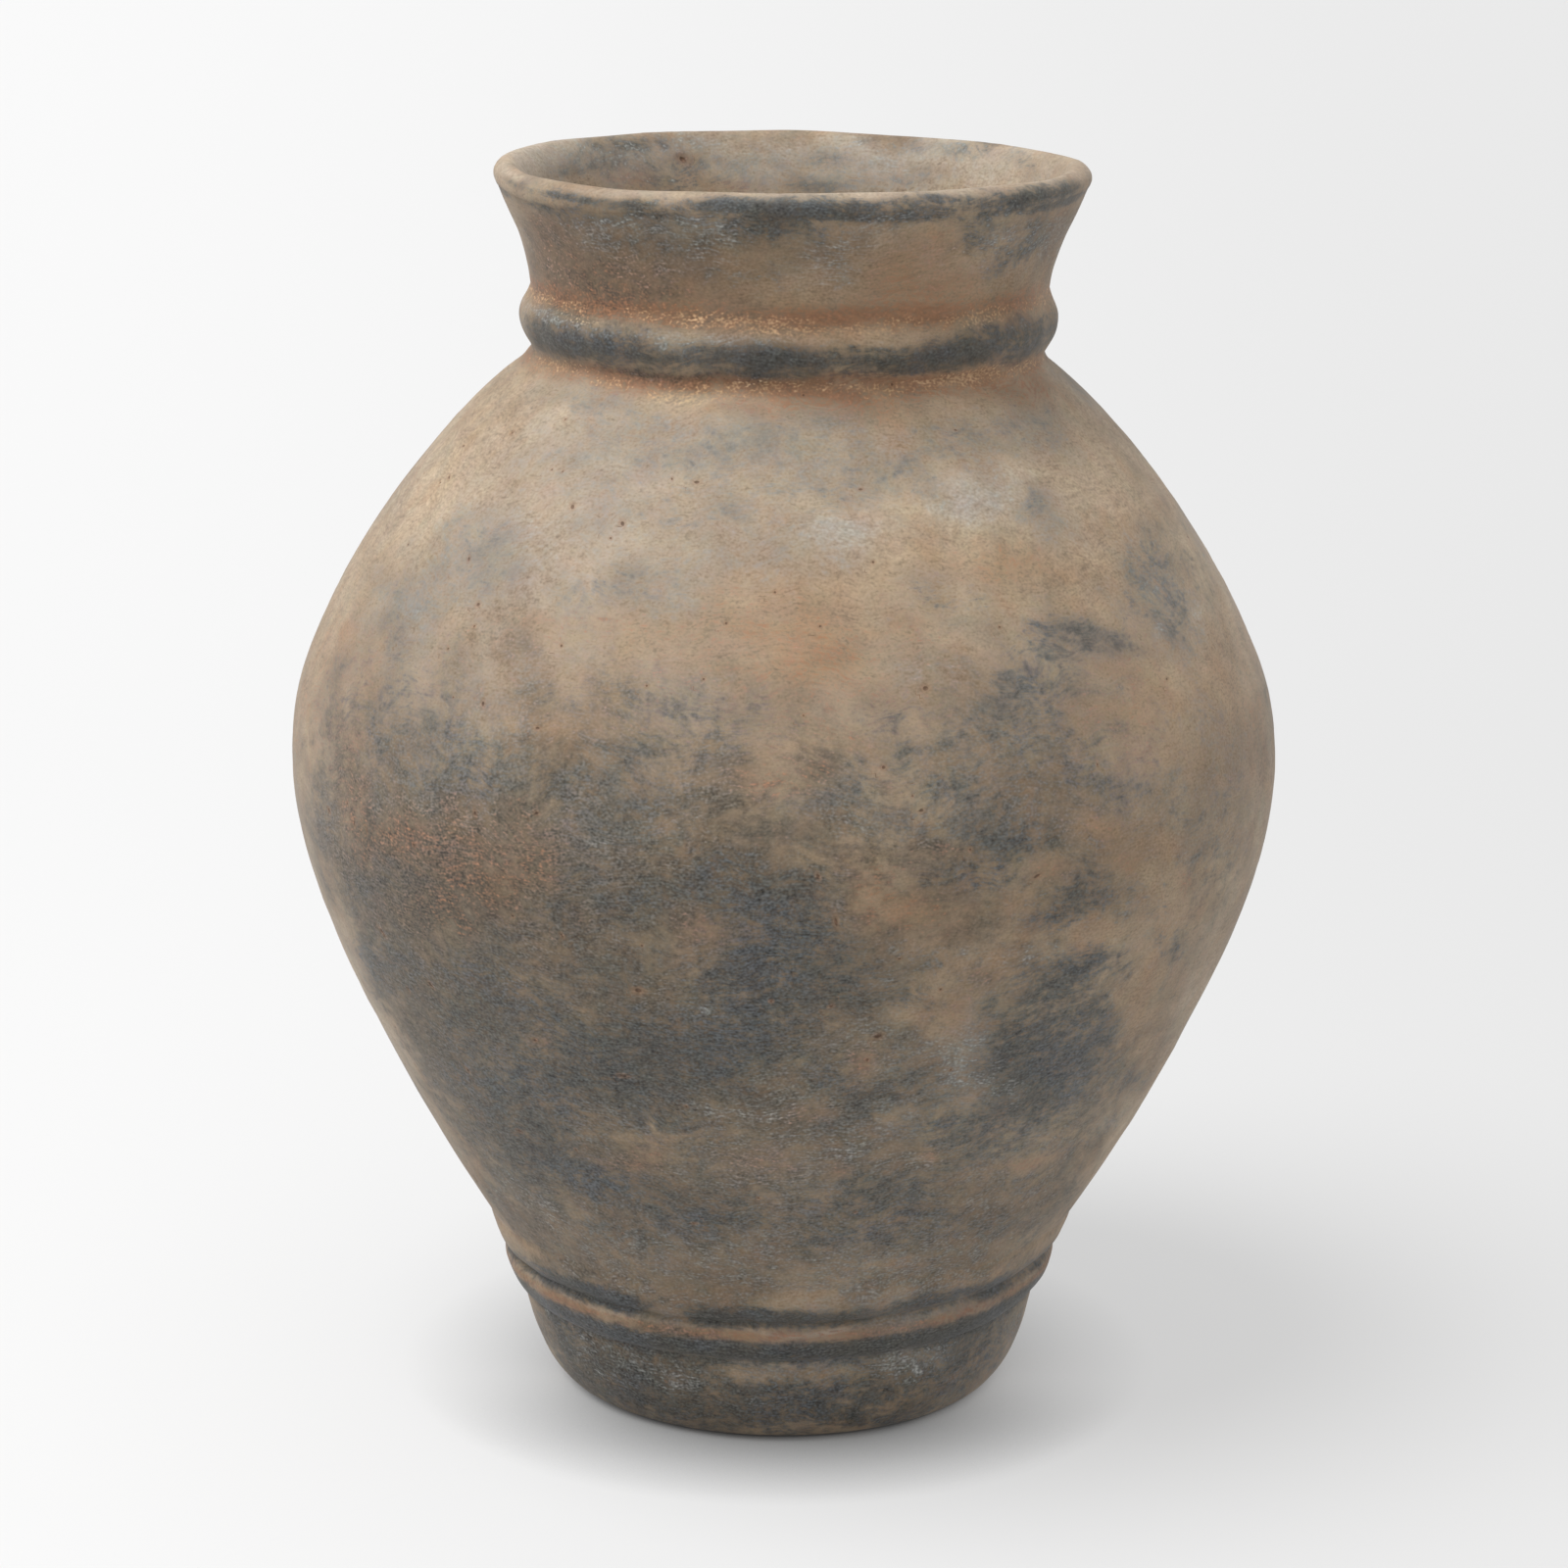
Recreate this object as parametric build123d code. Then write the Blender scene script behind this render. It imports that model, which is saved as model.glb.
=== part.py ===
from build123d import *
import math
import os

# A hand-built storage jar of the pithos form, in grogged terracotta.
# It is raised the way such jars are raised: a floor disc, wall rings set one on
# another with a stepped lap joint, a neck collar, a rolled lip, and applied clay
# bands (cordons) keyed into shallow channels over the two joints that need them most.
# Millimetres, +Z up, origin at the centre of the face that the jar stands on.

# ---------------------------------------------------------------- driving dimensions
FLOOR_T = 12.0          # thickness of the floor inside the foot
LEDGE_Z = 8.0           # height of the floor disc's ledge, which carries the foot ring
SPIGOT_R = 86.0         # raised middle of the floor disc, which centres the foot ring
STAND_R = 86.5          # radius of the flat face on the ground

FOOT_TOP_Z = 39.5       # where the lower foot cordon begins
CORDON_SPLIT_Z = 57.4   # where the two foot cordons meet, and the foot joint behind them
CORDON_TOP_Z = 75.0     # where the upper foot cordon ends

JOINT_LOWER_Z = 158.0   # lower wall to belly ring, on the outside
JOINT_BELLY_Z = 263.0   # belly ring to shoulder ring, at the greatest width
JOINT_SHOULDER_Z = 352.0
NECK_CORDON_BOTTOM_Z = 431.5
NECK_JOINT_Z = 444.0    # shoulder to neck collar, behind the neck cordon
NECK_CORDON_TOP_Z = 456.5
LAP_STEP = 6.0          # height of the step in each lap joint
LIP_STEP = 3.5

# Outside of the foot, from the top of the ground's rounded edge to the lower cordon (radius, height)
FOOT_OUT = [(93.9, 3.6), (97.2, 8.0), (99.4, 12.0), (101.9, 18.0), (104.0, 24.0), (105.6, 30.0),
            (106.9, 35.0), (107.7, 39.5)]
# Outside of the belly, from the upper foot cordon to the groove under the neck cordon
BODY_OUT = [(122.6, 75.0), (127.9, 84.0), (135.2, 96.0), (145.4, 114.0), (158.1, 138.0),
            (169.9, 162.0), (180.55, 186.0), (189.6, 210.0), (196.4, 234.0), (199.4, 252.0),
            (200.0, 263.0), (199.3, 277.0), (196.7, 294.0), (190.4, 312.0), (182.0, 330.0),
            (171.9, 348.0), (160.2, 366.0), (146.7, 384.0), (130.5, 402.0), (118.5, 414.0),
            (109.0, 422.5), (104.2, 427.2), (102.6, 431.5)]
# Outside of the neck collar, from the neck cordon up the flare to the lip
NECK_OUT = [(102.8, 456.5), (103.3, 461.0), (105.0, 468.0), (107.8, 476.0), (111.6, 484.0),
            (115.3, 491.8), (117.3, 496.2)]
# Inside of the whole jar, from the floor to the lip
INSIDE = [(86.0, 12.0), (88.3, 18.0), (91.0, 26.0), (95.4, 40.0), (101.3, 58.0), (111.6, 79.0),
          (126.6, 106.2), (142.2, 135.0), (157.7, 165.4), (170.9, 195.0), (181.2, 223.3),
          (186.9, 248.0), (188.0, 263.0), (186.6, 281.0), (181.5, 301.7), (173.1, 321.5),
          (161.6, 341.8), (148.7, 361.5), (133.3, 382.2), (117.9, 399.5), (104.9, 411.5),
          (97.2, 420.5), (92.9, 430.5), (91.3, 441.0), (91.2, 452.0), (92.3, 463.0),
          (94.9, 474.0), (98.6, 484.0), (102.4, 492.0)]
# The lip's rolled section, from its lower outer edge over the crest to the inside
LIP_OUT = [(117.7, 496.4), (118.3, 497.9), (118.5, 499.4), (118.2, 501.0), (117.4, 502.5), (116.1, 503.8),
           (114.6, 504.7), (112.9, 505.0), (110.9, 504.5), (108.4, 502.3), (105.5, 498.2), (102.4, 492.0)]
# Applied bands: the outer section of each
LOWER_CORDON = [(107.7, 39.5), (110.3, 41.7), (113.0, 45.6), (114.9, 50.0), (115.5, 53.6),
                (113.6, 57.4)]
UPPER_CORDON = [(113.6, 57.4), (117.0, 60.6), (119.5, 64.4), (121.2, 68.6), (122.2, 72.0),
                (122.6, 75.0)]
NECK_CORDON = [(102.6, 431.5), (104.2, 434.8), (106.2, 439.2), (107.2, 444.0), (106.4, 448.8),
               (104.3, 453.0), (102.8, 456.5)]
CHANNEL = 3.2           # how deep each cordon is keyed into the wall


# ---------------------------------------------------------------- drawing helpers
def at(r, z):
    return Vector(r, 0.0, z)


def curve(points):
    return Edge.make_spline([at(*p) for p in points])


def line(*points):
    points = [p if isinstance(p, Vector) else at(*p) for p in points]
    return [Edge.make_line(a, b) for a, b in zip(points, points[1:])]


def share_at_height(edge, z):
    """Where on a rising curve the height z is reached, from 0 to 1."""
    low, high = 0.0, 1.0
    for _ in range(60):
        mid = (low + high) / 2
        low, high = (mid, high) if edge.position_at(mid).Z < z else (low, mid)
    return (low + high) / 2


def share_nearest(edge, point):
    """Where on a curve the nearest point to the given one lies, from 0 to 1."""
    best = min((i / 400 for i in range(401)), key=lambda s: (edge.position_at(s) - point).length)
    low, high = max(0.0, best - 1 / 400), min(1.0, best + 1 / 400)
    for _ in range(60):
        a, b = low + (high - low) / 3, high - (high - low) / 3
        if (edge.position_at(a) - point).length < (edge.position_at(b) - point).length:
            high = b
        else:
            low = a
    return (low + high) / 2


def turned(edges):
    """A full turn about the jar's axis of the closed section that the edges bound."""
    return revolve(Face(Wire(edges)), Axis.Z)


foot_out, body_out, neck_out = curve(FOOT_OUT), curve(BODY_OUT), curve(NECK_OUT)
inside = curve(INSIDE)


def lap(outer, z, step):
    """The path of a stepped lap joint, from the outside to the inside of the wall.
    The lower ring keeps the inner half of the wall, which stands up by the step."""
    s_out = share_at_height(outer, z)
    start = outer.position_at(s_out)
    along = outer.tangent_at(s_out)
    if along.Z < 0:
        along = along * -1
    inward = Vector(-along.Z, 0, along.X)
    s_near = share_nearest(inside, start)
    half = (inside.position_at(s_near) - start).length / 2
    first = start + inward * half
    second = first + along * step
    s_in = share_nearest(inside, second + inward * half)
    return s_out, s_in, [start, first, second, inside.position_at(s_in)]


# ---------------------------------------------------------------- floor disc
s_ledge = share_at_height(foot_out, LEDGE_Z)
ledge = foot_out.position_at(s_ledge)
base_disc = turned(
    line((0, 0), (STAND_R, 0))
    + [Edge.make_tangent_arc(at(STAND_R, 0), Vector(1, 0, 0), at(*FOOT_OUT[0]))]
    + [foot_out.trim(0.0, s_ledge)]
    + line(ledge, (SPIGOT_R, ledge.Z), (SPIGOT_R, FLOOR_T), (0, FLOOR_T), (0, 0))
)

# ---------------------------------------------------------------- foot ring
# Its top is cut back to a channel that takes the lower cordon.
channel_low = (LOWER_CORDON[0][0] - CHANNEL, FOOT_TOP_Z)
channel_mid = (LOWER_CORDON[-1][0] - CHANNEL, CORDON_SPLIT_Z)
channel_high = (UPPER_CORDON[-1][0] - CHANNEL, CORDON_TOP_Z)
s_foot_in = share_at_height(inside, CORDON_SPLIT_Z + LAP_STEP)
foot_mid_r = (channel_mid[0] + inside.position_at(share_at_height(inside, CORDON_SPLIT_Z)).X) / 2
foot_joint = [at(*channel_mid), at(foot_mid_r, CORDON_SPLIT_Z),
              at(foot_mid_r, CORDON_SPLIT_Z + LAP_STEP), inside.position_at(s_foot_in)]
foot_ring = turned(
    [foot_out.trim(s_ledge, 1.0)]
    + line(FOOT_OUT[-1], channel_low, channel_mid)
    + line(*foot_joint)
    + [inside.trim(0.0, s_foot_in)]
    + line((SPIGOT_R, FLOOR_T), (SPIGOT_R, ledge.Z), ledge)
)

# ---------------------------------------------------------------- wall rings
s_low, s_low_in, low_joint = lap(body_out, JOINT_LOWER_Z, LAP_STEP)
s_belly, s_belly_in, belly_joint = lap(body_out, JOINT_BELLY_Z, LAP_STEP)
s_shoulder, s_shoulder_in, shoulder_joint = lap(body_out, JOINT_SHOULDER_Z, LAP_STEP)

lower_wall_ring = turned(
    line(*foot_joint[::-1])
    + line(channel_mid, channel_high, UPPER_CORDON[-1])
    + [body_out.trim(0.0, s_low)]
    + line(*low_joint)
    + [inside.trim(s_foot_in, s_low_in)]
)
belly_ring = turned(
    line(*low_joint[::-1]) + [body_out.trim(s_low, s_belly)] + line(*belly_joint)
    + [inside.trim(s_low_in, s_belly_in)]
)
shoulder_ring = turned(
    line(*belly_joint[::-1]) + [body_out.trim(s_belly, s_shoulder)] + line(*shoulder_joint)
    + [inside.trim(s_belly_in, s_shoulder_in)]
)

# The uppermost wall ring closes in to the neck, and carries the collar behind the cordon.
neck_channel_r = NECK_CORDON[0][0] - CHANNEL
s_neck_in = share_at_height(inside, NECK_JOINT_Z + LAP_STEP)
neck_in_r = inside.position_at(share_at_height(inside, NECK_JOINT_Z)).X
neck_mid_r = (neck_channel_r + neck_in_r) / 2
neck_joint = [at(neck_channel_r, NECK_JOINT_Z), at(neck_mid_r, NECK_JOINT_Z),
              at(neck_mid_r, NECK_JOINT_Z + LAP_STEP), inside.position_at(s_neck_in)]
upper_shoulder_ring = turned(
    line(*shoulder_joint[::-1]) + [body_out.trim(s_shoulder, 1.0)]
    + line(BODY_OUT[-1], (neck_channel_r, NECK_CORDON_BOTTOM_Z), neck_joint[0])
    + line(*neck_joint)
    + [inside.trim(s_shoulder_in, s_neck_in)]
)

# ---------------------------------------------------------------- neck collar and lip
lip_start, lip_end = at(*NECK_OUT[-1]), at(*INSIDE[-1])
lip_mid_low = lip_start + (lip_end - lip_start) * 0.5
across = (lip_end - lip_start).normalized()
lip_mid_high = lip_mid_low + Vector(-across.Z, 0, across.X) * -LIP_STEP
if lip_mid_high.Z < lip_mid_low.Z:
    lip_mid_high = lip_mid_low + (lip_mid_low - lip_mid_high)
lip_joint = [lip_start, lip_start + across * 4.5, lip_start + across * 4.5 + (lip_mid_high - lip_mid_low),
             lip_start + across * 9.0 + (lip_mid_high - lip_mid_low), lip_start + across * 9.0, lip_end]
neck_collar = turned(
    line(*neck_joint[::-1])
    + line(neck_joint[0], (neck_channel_r, NECK_CORDON_TOP_Z), NECK_OUT[0])
    + [neck_out]
    + line(*lip_joint)
    + [inside.trim(s_neck_in, 1.0)]
)
rim_lip = turned(
    line(lip_start, LIP_OUT[0]) + [curve(LIP_OUT)] + line(*lip_joint[::-1])
)

# ---------------------------------------------------------------- applied bands
lower_foot_cordon = turned(
    [curve(LOWER_CORDON)] + line(LOWER_CORDON[-1], channel_mid, channel_low, LOWER_CORDON[0])
)
upper_foot_cordon = turned(
    [curve(UPPER_CORDON)] + line(UPPER_CORDON[-1], channel_high, channel_mid, UPPER_CORDON[0])
)
neck_cordon = turned(
    [curve(NECK_CORDON)]
    + line(NECK_CORDON[-1], (neck_channel_r, NECK_CORDON_TOP_Z),
           (neck_channel_r, NECK_CORDON_BOTTOM_Z), NECK_CORDON[0])
)

# ---------------------------------------------------------------- one file for each piece
pieces = {
    "base_disc": base_disc,
    "foot_ring": foot_ring,
    "lower_foot_cordon": lower_foot_cordon,
    "upper_foot_cordon": upper_foot_cordon,
    "lower_wall_ring": lower_wall_ring,
    "belly_ring": belly_ring,
    "shoulder_ring": shoulder_ring,
    "upper_shoulder_ring": upper_shoulder_ring,
    "neck_cordon": neck_cordon,
    "neck_collar": neck_collar,
    "rim_lip": rim_lip,
}
os.makedirs("parts", exist_ok=True)
for name, shape in pieces.items():
    export_step(shape, f"parts/{name}.step")
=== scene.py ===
import math

import bpy
import numpy as np
from mathutils import Matrix, Vector


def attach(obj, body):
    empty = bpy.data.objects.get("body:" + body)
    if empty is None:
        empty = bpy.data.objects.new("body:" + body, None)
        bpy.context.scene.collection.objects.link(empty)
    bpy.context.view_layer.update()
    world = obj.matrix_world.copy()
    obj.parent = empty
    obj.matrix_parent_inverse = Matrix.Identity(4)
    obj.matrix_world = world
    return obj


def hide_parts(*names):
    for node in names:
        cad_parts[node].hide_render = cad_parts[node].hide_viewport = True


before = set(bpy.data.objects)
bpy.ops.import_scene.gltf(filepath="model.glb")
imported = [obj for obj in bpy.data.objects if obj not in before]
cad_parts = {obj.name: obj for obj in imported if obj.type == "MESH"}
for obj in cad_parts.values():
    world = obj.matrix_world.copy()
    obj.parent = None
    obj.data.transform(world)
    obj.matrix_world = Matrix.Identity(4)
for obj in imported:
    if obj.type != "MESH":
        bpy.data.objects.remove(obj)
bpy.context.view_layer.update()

# A hand-built terracotta storage jar. Every piece of the built jar - floor disc, foot ring, wall rings,
# applied bands, collar and lip - is modelled here as its own closed mesh, with the slight lean, waviness,
# dents and chips of hand work, and carries the same fired-clay surface with its washes, rubbed places and some painted
# shade and highlights.
# Sections are in millimetres (radius, height); meshes are in metres.

N = 900                 # corners around the axis
STEP = 1.35             # spacing of rows on the outside
RNG = np.random.RandomState(41)

# ------------------------------------------------------------------ sections
FOOT_OUT = [(86.5, 0.0), (89.5, 0.55), (92.0, 1.8), (93.9, 3.6), (97.2, 8.0), (99.4, 12.0), (101.9, 18.0),
            (104.0, 24.0), (105.6, 30.0), (106.9, 35.0), (107.7, 39.5)]
BODY_OUT = [(122.6, 75.0), (127.9, 84.0), (135.2, 96.0), (145.4, 114.0), (158.1, 138.0),
            (169.9, 162.0), (180.55, 186.0), (189.6, 210.0), (196.4, 234.0), (199.4, 252.0),
            (200.0, 263.0), (199.3, 277.0), (196.7, 294.0), (190.4, 312.0), (182.0, 330.0),
            (171.9, 348.0), (160.2, 366.0), (146.7, 384.0), (130.5, 402.0), (118.5, 414.0),
            (109.0, 422.5), (104.2, 427.2), (102.6, 431.5)]
NECK_OUT = [(102.8, 456.5), (103.3, 461.0), (105.0, 468.0), (107.8, 476.0), (111.6, 484.0),
            (115.3, 491.8), (117.3, 496.2)]
INSIDE = [(86.0, 12.0), (88.3, 18.0), (91.0, 26.0), (95.4, 40.0), (101.3, 58.0), (111.6, 79.0),
          (126.6, 106.2), (142.2, 135.0), (157.7, 165.4), (170.9, 195.0), (181.2, 223.3),
          (186.9, 248.0), (188.0, 263.0), (186.6, 281.0), (181.5, 301.7), (173.1, 321.5),
          (161.6, 341.8), (148.7, 361.5), (133.3, 382.2), (117.9, 399.5), (104.9, 411.5),
          (97.2, 420.5), (92.9, 430.5), (91.3, 441.0), (91.2, 452.0), (92.3, 463.0),
          (94.9, 474.0), (98.6, 484.0), (102.4, 492.0)]
LIP_OUT = [(117.7, 496.4), (118.3, 497.9), (118.5, 499.4), (118.2, 501.0), (117.4, 502.5), (116.1, 503.8),
           (114.6, 504.7), (112.9, 505.0), (110.9, 504.5), (108.4, 502.3), (105.5, 498.2), (102.4, 492.0)]
LOWER_CORDON = [(107.7, 39.5), (110.3, 41.7), (113.0, 45.6), (114.9, 50.0), (115.5, 53.6),
                (113.6, 57.4)]
UPPER_CORDON = [(113.6, 57.4), (117.0, 60.6), (119.5, 64.4), (121.2, 68.6), (122.2, 72.0),
                (122.6, 75.0)]
NECK_CORDON = [(102.6, 431.5), (104.2, 434.8), (106.2, 439.2), (107.2, 444.0), (106.4, 448.8),
               (104.3, 453.0), (102.8, 456.5)]
CHANNEL, LAP_STEP, LIP_STEP = 3.2, 6.0, 3.5
LEDGE_Z, FLOOR_T, SPIGOT_R = 8.0, 12.0, 86.0
SPLIT_Z, NECK_JOINT_Z = 57.4, 444.0
JOINTS_Z = (158.0, 263.0, 352.0)


def spline(points, step, leave=None, arrive=None):
    """Rows along a smooth curve through the points, about one step apart."""
    p = np.array(points, float)
    t = np.concatenate([[0], np.cumsum(np.linalg.norm(np.diff(p, axis=0), axis=1))])
    n = len(p)
    a, b = np.zeros((n, n)), np.zeros((n, 2))
    h = np.diff(t)
    for i in range(1, n - 1):
        a[i, i - 1], a[i, i], a[i, i + 1] = h[i - 1], 2 * (h[i - 1] + h[i]), h[i]
        b[i] = 6 * ((p[i + 1] - p[i]) / h[i] - (p[i] - p[i - 1]) / h[i - 1])
    a[0, 0] = a[-1, -1] = 1
    if leave is not None:
        d = np.array(leave, float) / np.linalg.norm(leave)
        a[0, 0], a[0, 1], b[0] = 2 * h[0], h[0], 6 * ((p[1] - p[0]) / h[0] - d)
    if arrive is not None:
        d = np.array(arrive, float) / np.linalg.norm(arrive)
        a[-1, -1], a[-1, -2], b[-1] = 2 * h[-1], h[-1], 6 * (d - (p[-1] - p[-2]) / h[-1])
    m = np.linalg.solve(a, b)

    def at(x):
        i = np.clip(np.searchsorted(t, x, side="right") - 1, 0, n - 2)
        u, v, w = (t[i + 1] - x)[:, None], (x - t[i])[:, None], h[i][:, None]
        return (m[i] * u**3 + m[i + 1] * v**3) / (6 * w) + (p[i] / w - m[i] * w / 6) * u + (p[i + 1] / w - m[i + 1] * w / 6) * v

    fine = at(np.linspace(0, t[-1], 4000))
    run = np.concatenate([[0], np.cumsum(np.linalg.norm(np.diff(fine, axis=0), axis=1))])
    want = np.linspace(0, run[-1], max(2, int(round(run[-1] / step)) + 1))
    return np.stack([np.interp(want, run, fine[:, 0]), np.interp(want, run, fine[:, 1])], 1)


def split_at(rows, height):
    """The rows with one put exactly at the height, and that row's index. Heights rise along the rows."""
    i = int(np.searchsorted(rows[:, 1], height))
    if abs(rows[i, 1] - height) < 0.25:
        i = i
    elif abs(rows[i - 1, 1] - height) < 0.25:
        i = i - 1
    else:
        f = (height - rows[i - 1, 1]) / (rows[i, 1] - rows[i - 1, 1])
        return np.insert(rows, i, rows[i - 1] + f * (rows[i] - rows[i - 1]), axis=0), i
    return rows, i


def nearest(rows, point):
    return int(np.argmin(np.linalg.norm(rows - np.array(point), axis=1)))


def run_between(a, b, step=6.0):
    """Rows on the straight line from a to b, ends included."""
    a, b = np.array(a, float), np.array(b, float)
    n = max(1, int(round(np.linalg.norm(b - a) / step)))
    return a + (b - a) * np.linspace(0, 1, n + 1)[:, None]


# ------------------------------------------------------------------ rows of every surface
under_rows = np.stack([np.linspace(0, 86.5, 30), np.zeros(30)], 1)[1:-1]
foot_rows, i_ledge = split_at(spline(FOOT_OUT, STEP, (1.0, 0.0), (0.17, 1.0)), LEDGE_Z)
lowc_rows = spline(LOWER_CORDON, 1.0)
upc_rows = spline(UPPER_CORDON, 1.0)
body_rows = spline(BODY_OUT, STEP)
i_body = []
for height in JOINTS_Z:
    body_rows, i = split_at(body_rows, height)
    i_body.append(i)
ncord_rows = spline(NECK_CORDON, 1.0)
neck_rows = spline(NECK_OUT, STEP)
lip_rows = np.concatenate([[NECK_OUT[-1]], spline(LIP_OUT, 0.9)])
in_fine = spline(INSIDE, 0.4)[::-1]                           # falls from the lip to the floor


def lap(i):
    """The stepped joint that starts on the outside at row i, and where it ends on the inside."""
    start, along = body_rows[i], body_rows[i + 1] - body_rows[i - 1]
    along = along / np.linalg.norm(along)
    inward = np.array([-along[1], along[0]])
    half = np.linalg.norm(in_fine[nearest(in_fine, start)] - start) / 2
    second = start + inward * half + along * LAP_STEP
    k = nearest(in_fine, second + inward * half)
    return [start, start + inward * half, second, in_fine[k]], k


low_joint, k_low = lap(i_body[0])
belly_joint, k_belly = lap(i_body[1])
shoulder_joint, k_shoulder = lap(i_body[2])


def in_at(height):
    return int(np.argmin(np.abs(in_fine[:, 1] - height)))


channel_low, channel_mid, channel_high = ((x - CHANNEL, z) for x, z in (LOWER_CORDON[0], LOWER_CORDON[-1], UPPER_CORDON[-1]))
k_foot, k_neck = in_at(SPLIT_Z + LAP_STEP), in_at(NECK_JOINT_Z + LAP_STEP)
mid = (channel_mid[0] + in_fine[in_at(SPLIT_Z)][0]) / 2
foot_joint = [channel_mid, (mid, SPLIT_Z), (mid, SPLIT_Z + LAP_STEP), in_fine[k_foot]]
neck_channel = NECK_CORDON[0][0] - CHANNEL
mid = (neck_channel + in_fine[in_at(NECK_JOINT_Z)][0]) / 2
neck_joint = [(neck_channel, NECK_JOINT_Z), (mid, NECK_JOINT_Z), (mid, NECK_JOINT_Z + LAP_STEP), in_fine[k_neck]]
lip_from, lip_to = np.array(NECK_OUT[-1]), np.array(INSIDE[-1])
across = (lip_to - lip_from) / np.linalg.norm(lip_to - lip_from)
up = np.array([across[1], -across[0]]) * LIP_STEP
lip_joint = [lip_from, lip_from + across * 4.5, lip_from + across * 4.5 + up, lip_from + across * 9.0 + up,
             lip_from + across * 9.0, lip_to]

# Rows of the inside, with one at the end of every joint, and closer together where the mouth shows them.
knots = [0, k_neck, in_at(392.0), k_shoulder, k_belly, k_low, k_foot, len(in_fine) - 1]
pick, at_knot = [0], [0]
for a, b, step in zip(knots, knots[1:], (1.5, 6.5, 6.5, 5.5, 5.5, 5.5, 4.0)):
    pick += [int(round(x)) for x in np.linspace(a, b, max(1, int(round((b - a) * 0.4 / step))) + 1)[1:]]
    at_knot.append(len(pick) - 1)
in_rows = in_fine[pick]

# Surfaces that run on without a crease share their normals across the pieces.
GROUPS = {
    "foot": np.concatenate([under_rows, foot_rows]),
    "lowc": lowc_rows,
    "wall": np.concatenate([upc_rows, body_rows[1:], ncord_rows[1:], neck_rows[1:]]),
    "lip": np.concatenate([lip_rows, in_rows[1:]]),
    "floor": np.stack([np.linspace(SPIGOT_R, 0, 24), np.full(24, FLOOR_T)], 1)[:-1],
}
n_under = len(under_rows)
o_body = len(upc_rows) - 1
o_ncord = o_body + len(body_rows) - 1
o_neck = o_ncord + len(ncord_rows) - 1
o_in = len(lip_rows) - 1
i_wall = [o_body + i for i in i_body]

# Distance along the outside from the middle of the underside, over the lip and down the inside.
ALONG, run = {}, 0.0
for g in ("foot", "lowc", "wall", "lip", "floor"):
    rows = GROUPS[g]
    first = np.linalg.norm(rows[0]) if g == "foot" else 0.0
    ALONG[g] = run + first + np.concatenate([[0], np.cumsum(np.linalg.norm(np.diff(rows, axis=0), axis=1))])
    run = ALONG[g][-1]

ANGLE = np.arange(N) * (2 * math.pi / N)
COS, SIN = np.cos(ANGLE), np.sin(ANGLE)

# ------------------------------------------------------------------ hand-made irregularity
LEAN_Z = [0, 20, 38, 55, 64, 72, 110, 160, 230, 262, 300, 340, 420, 440, 455, 468, 500, 520]
LEAN_X = [-0.3, -0.6, -1.1, -1.1, -0.7, -0.5, 0.15, 0.3, 0.3, -0.2, -0.9, -1.5, -1.45, 0.0, 0.6, 1.1, 1.65, 1.65]


def waves(p, shortest, longest, count, seed):
    """Smooth seeded noise over points in millimetres, with about unit spread."""
    rng = np.random.RandomState(seed)
    d = rng.normal(size=(count, 3))
    d /= np.linalg.norm(d, axis=1)[:, None]
    k = d * (2 * math.pi / np.exp(rng.uniform(math.log(shortest), math.log(longest), count)))[:, None]
    phase = rng.uniform(0, 2 * math.pi, count)
    out = np.zeros(p.shape[:-1])
    for i in range(count):
        out += np.cos(p @ k[i] + phase[i])
    return out * math.sqrt(2.0 / count)


def smooth(x, lo, hi):
    t = np.clip((x - lo) / (hi - lo), 0, 1)
    return t * t * (3 - 2 * t)


def ideal(rows):
    """Points of the ideal turned shape, (rows, N, 3) in millimetres."""
    r, z = rows[:, :1], rows[:, 1:]
    return np.stack([r * COS, r * SIN, z + 0 * COS], 2)


# How far the jar's right and left sides stand out from the turned shape, by height.
RIGHT = [(0, 0), (50, 0), (62, -.5), (68, -.5), (78, .35), (84, .4), (96, .2), (110, .05), (123, .3), (136, .5), (149, .75), (162, .1),
         (175, -.35), (185, -.6), (201, -.45), (220, -.15), (239, 0), (264, -.1), (276, -.35), (288, -.75), (300, -.85),
         (312, -.7), (324, 0), (336, .55), (347, .45), (359, -.1), (371, -.25), (383, 0), (392, .3), (406, .1), (417, -.1),
         (427, .3), (440, 0), (460, .2), (474, .3), (488, .05), (505, -.2)]
LEFT = [(0, .2), (60, .35), (69, .2), (76, .6), (83, .8), (96, .75), (116, .85), (129, 1.1), (149, .85), (162, .65),
        (175, .9), (188, 1.1), (214, 1.05), (230, 1.0), (239, .7), (251, .5), (264, .15), (306, .15), (324, 0), (342, .1),
        (353, -.2), (365, -.5), (380, -.4), (388, -.1), (394, .3), (400, .5), (406, .35), (421, 0), (427, 0), (429, -.4),
        (431, -1.4), (434, -1.65), (437, -1.2), (441, -.7), (445, -.35), (453, -.6), (460, -.1), (466, 0), (478, -.4),
        (492, .2), (505, .1)]


def side(z, table):
    return np.interp(z, [h for h, _ in table], [d for _, d in table])


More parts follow.
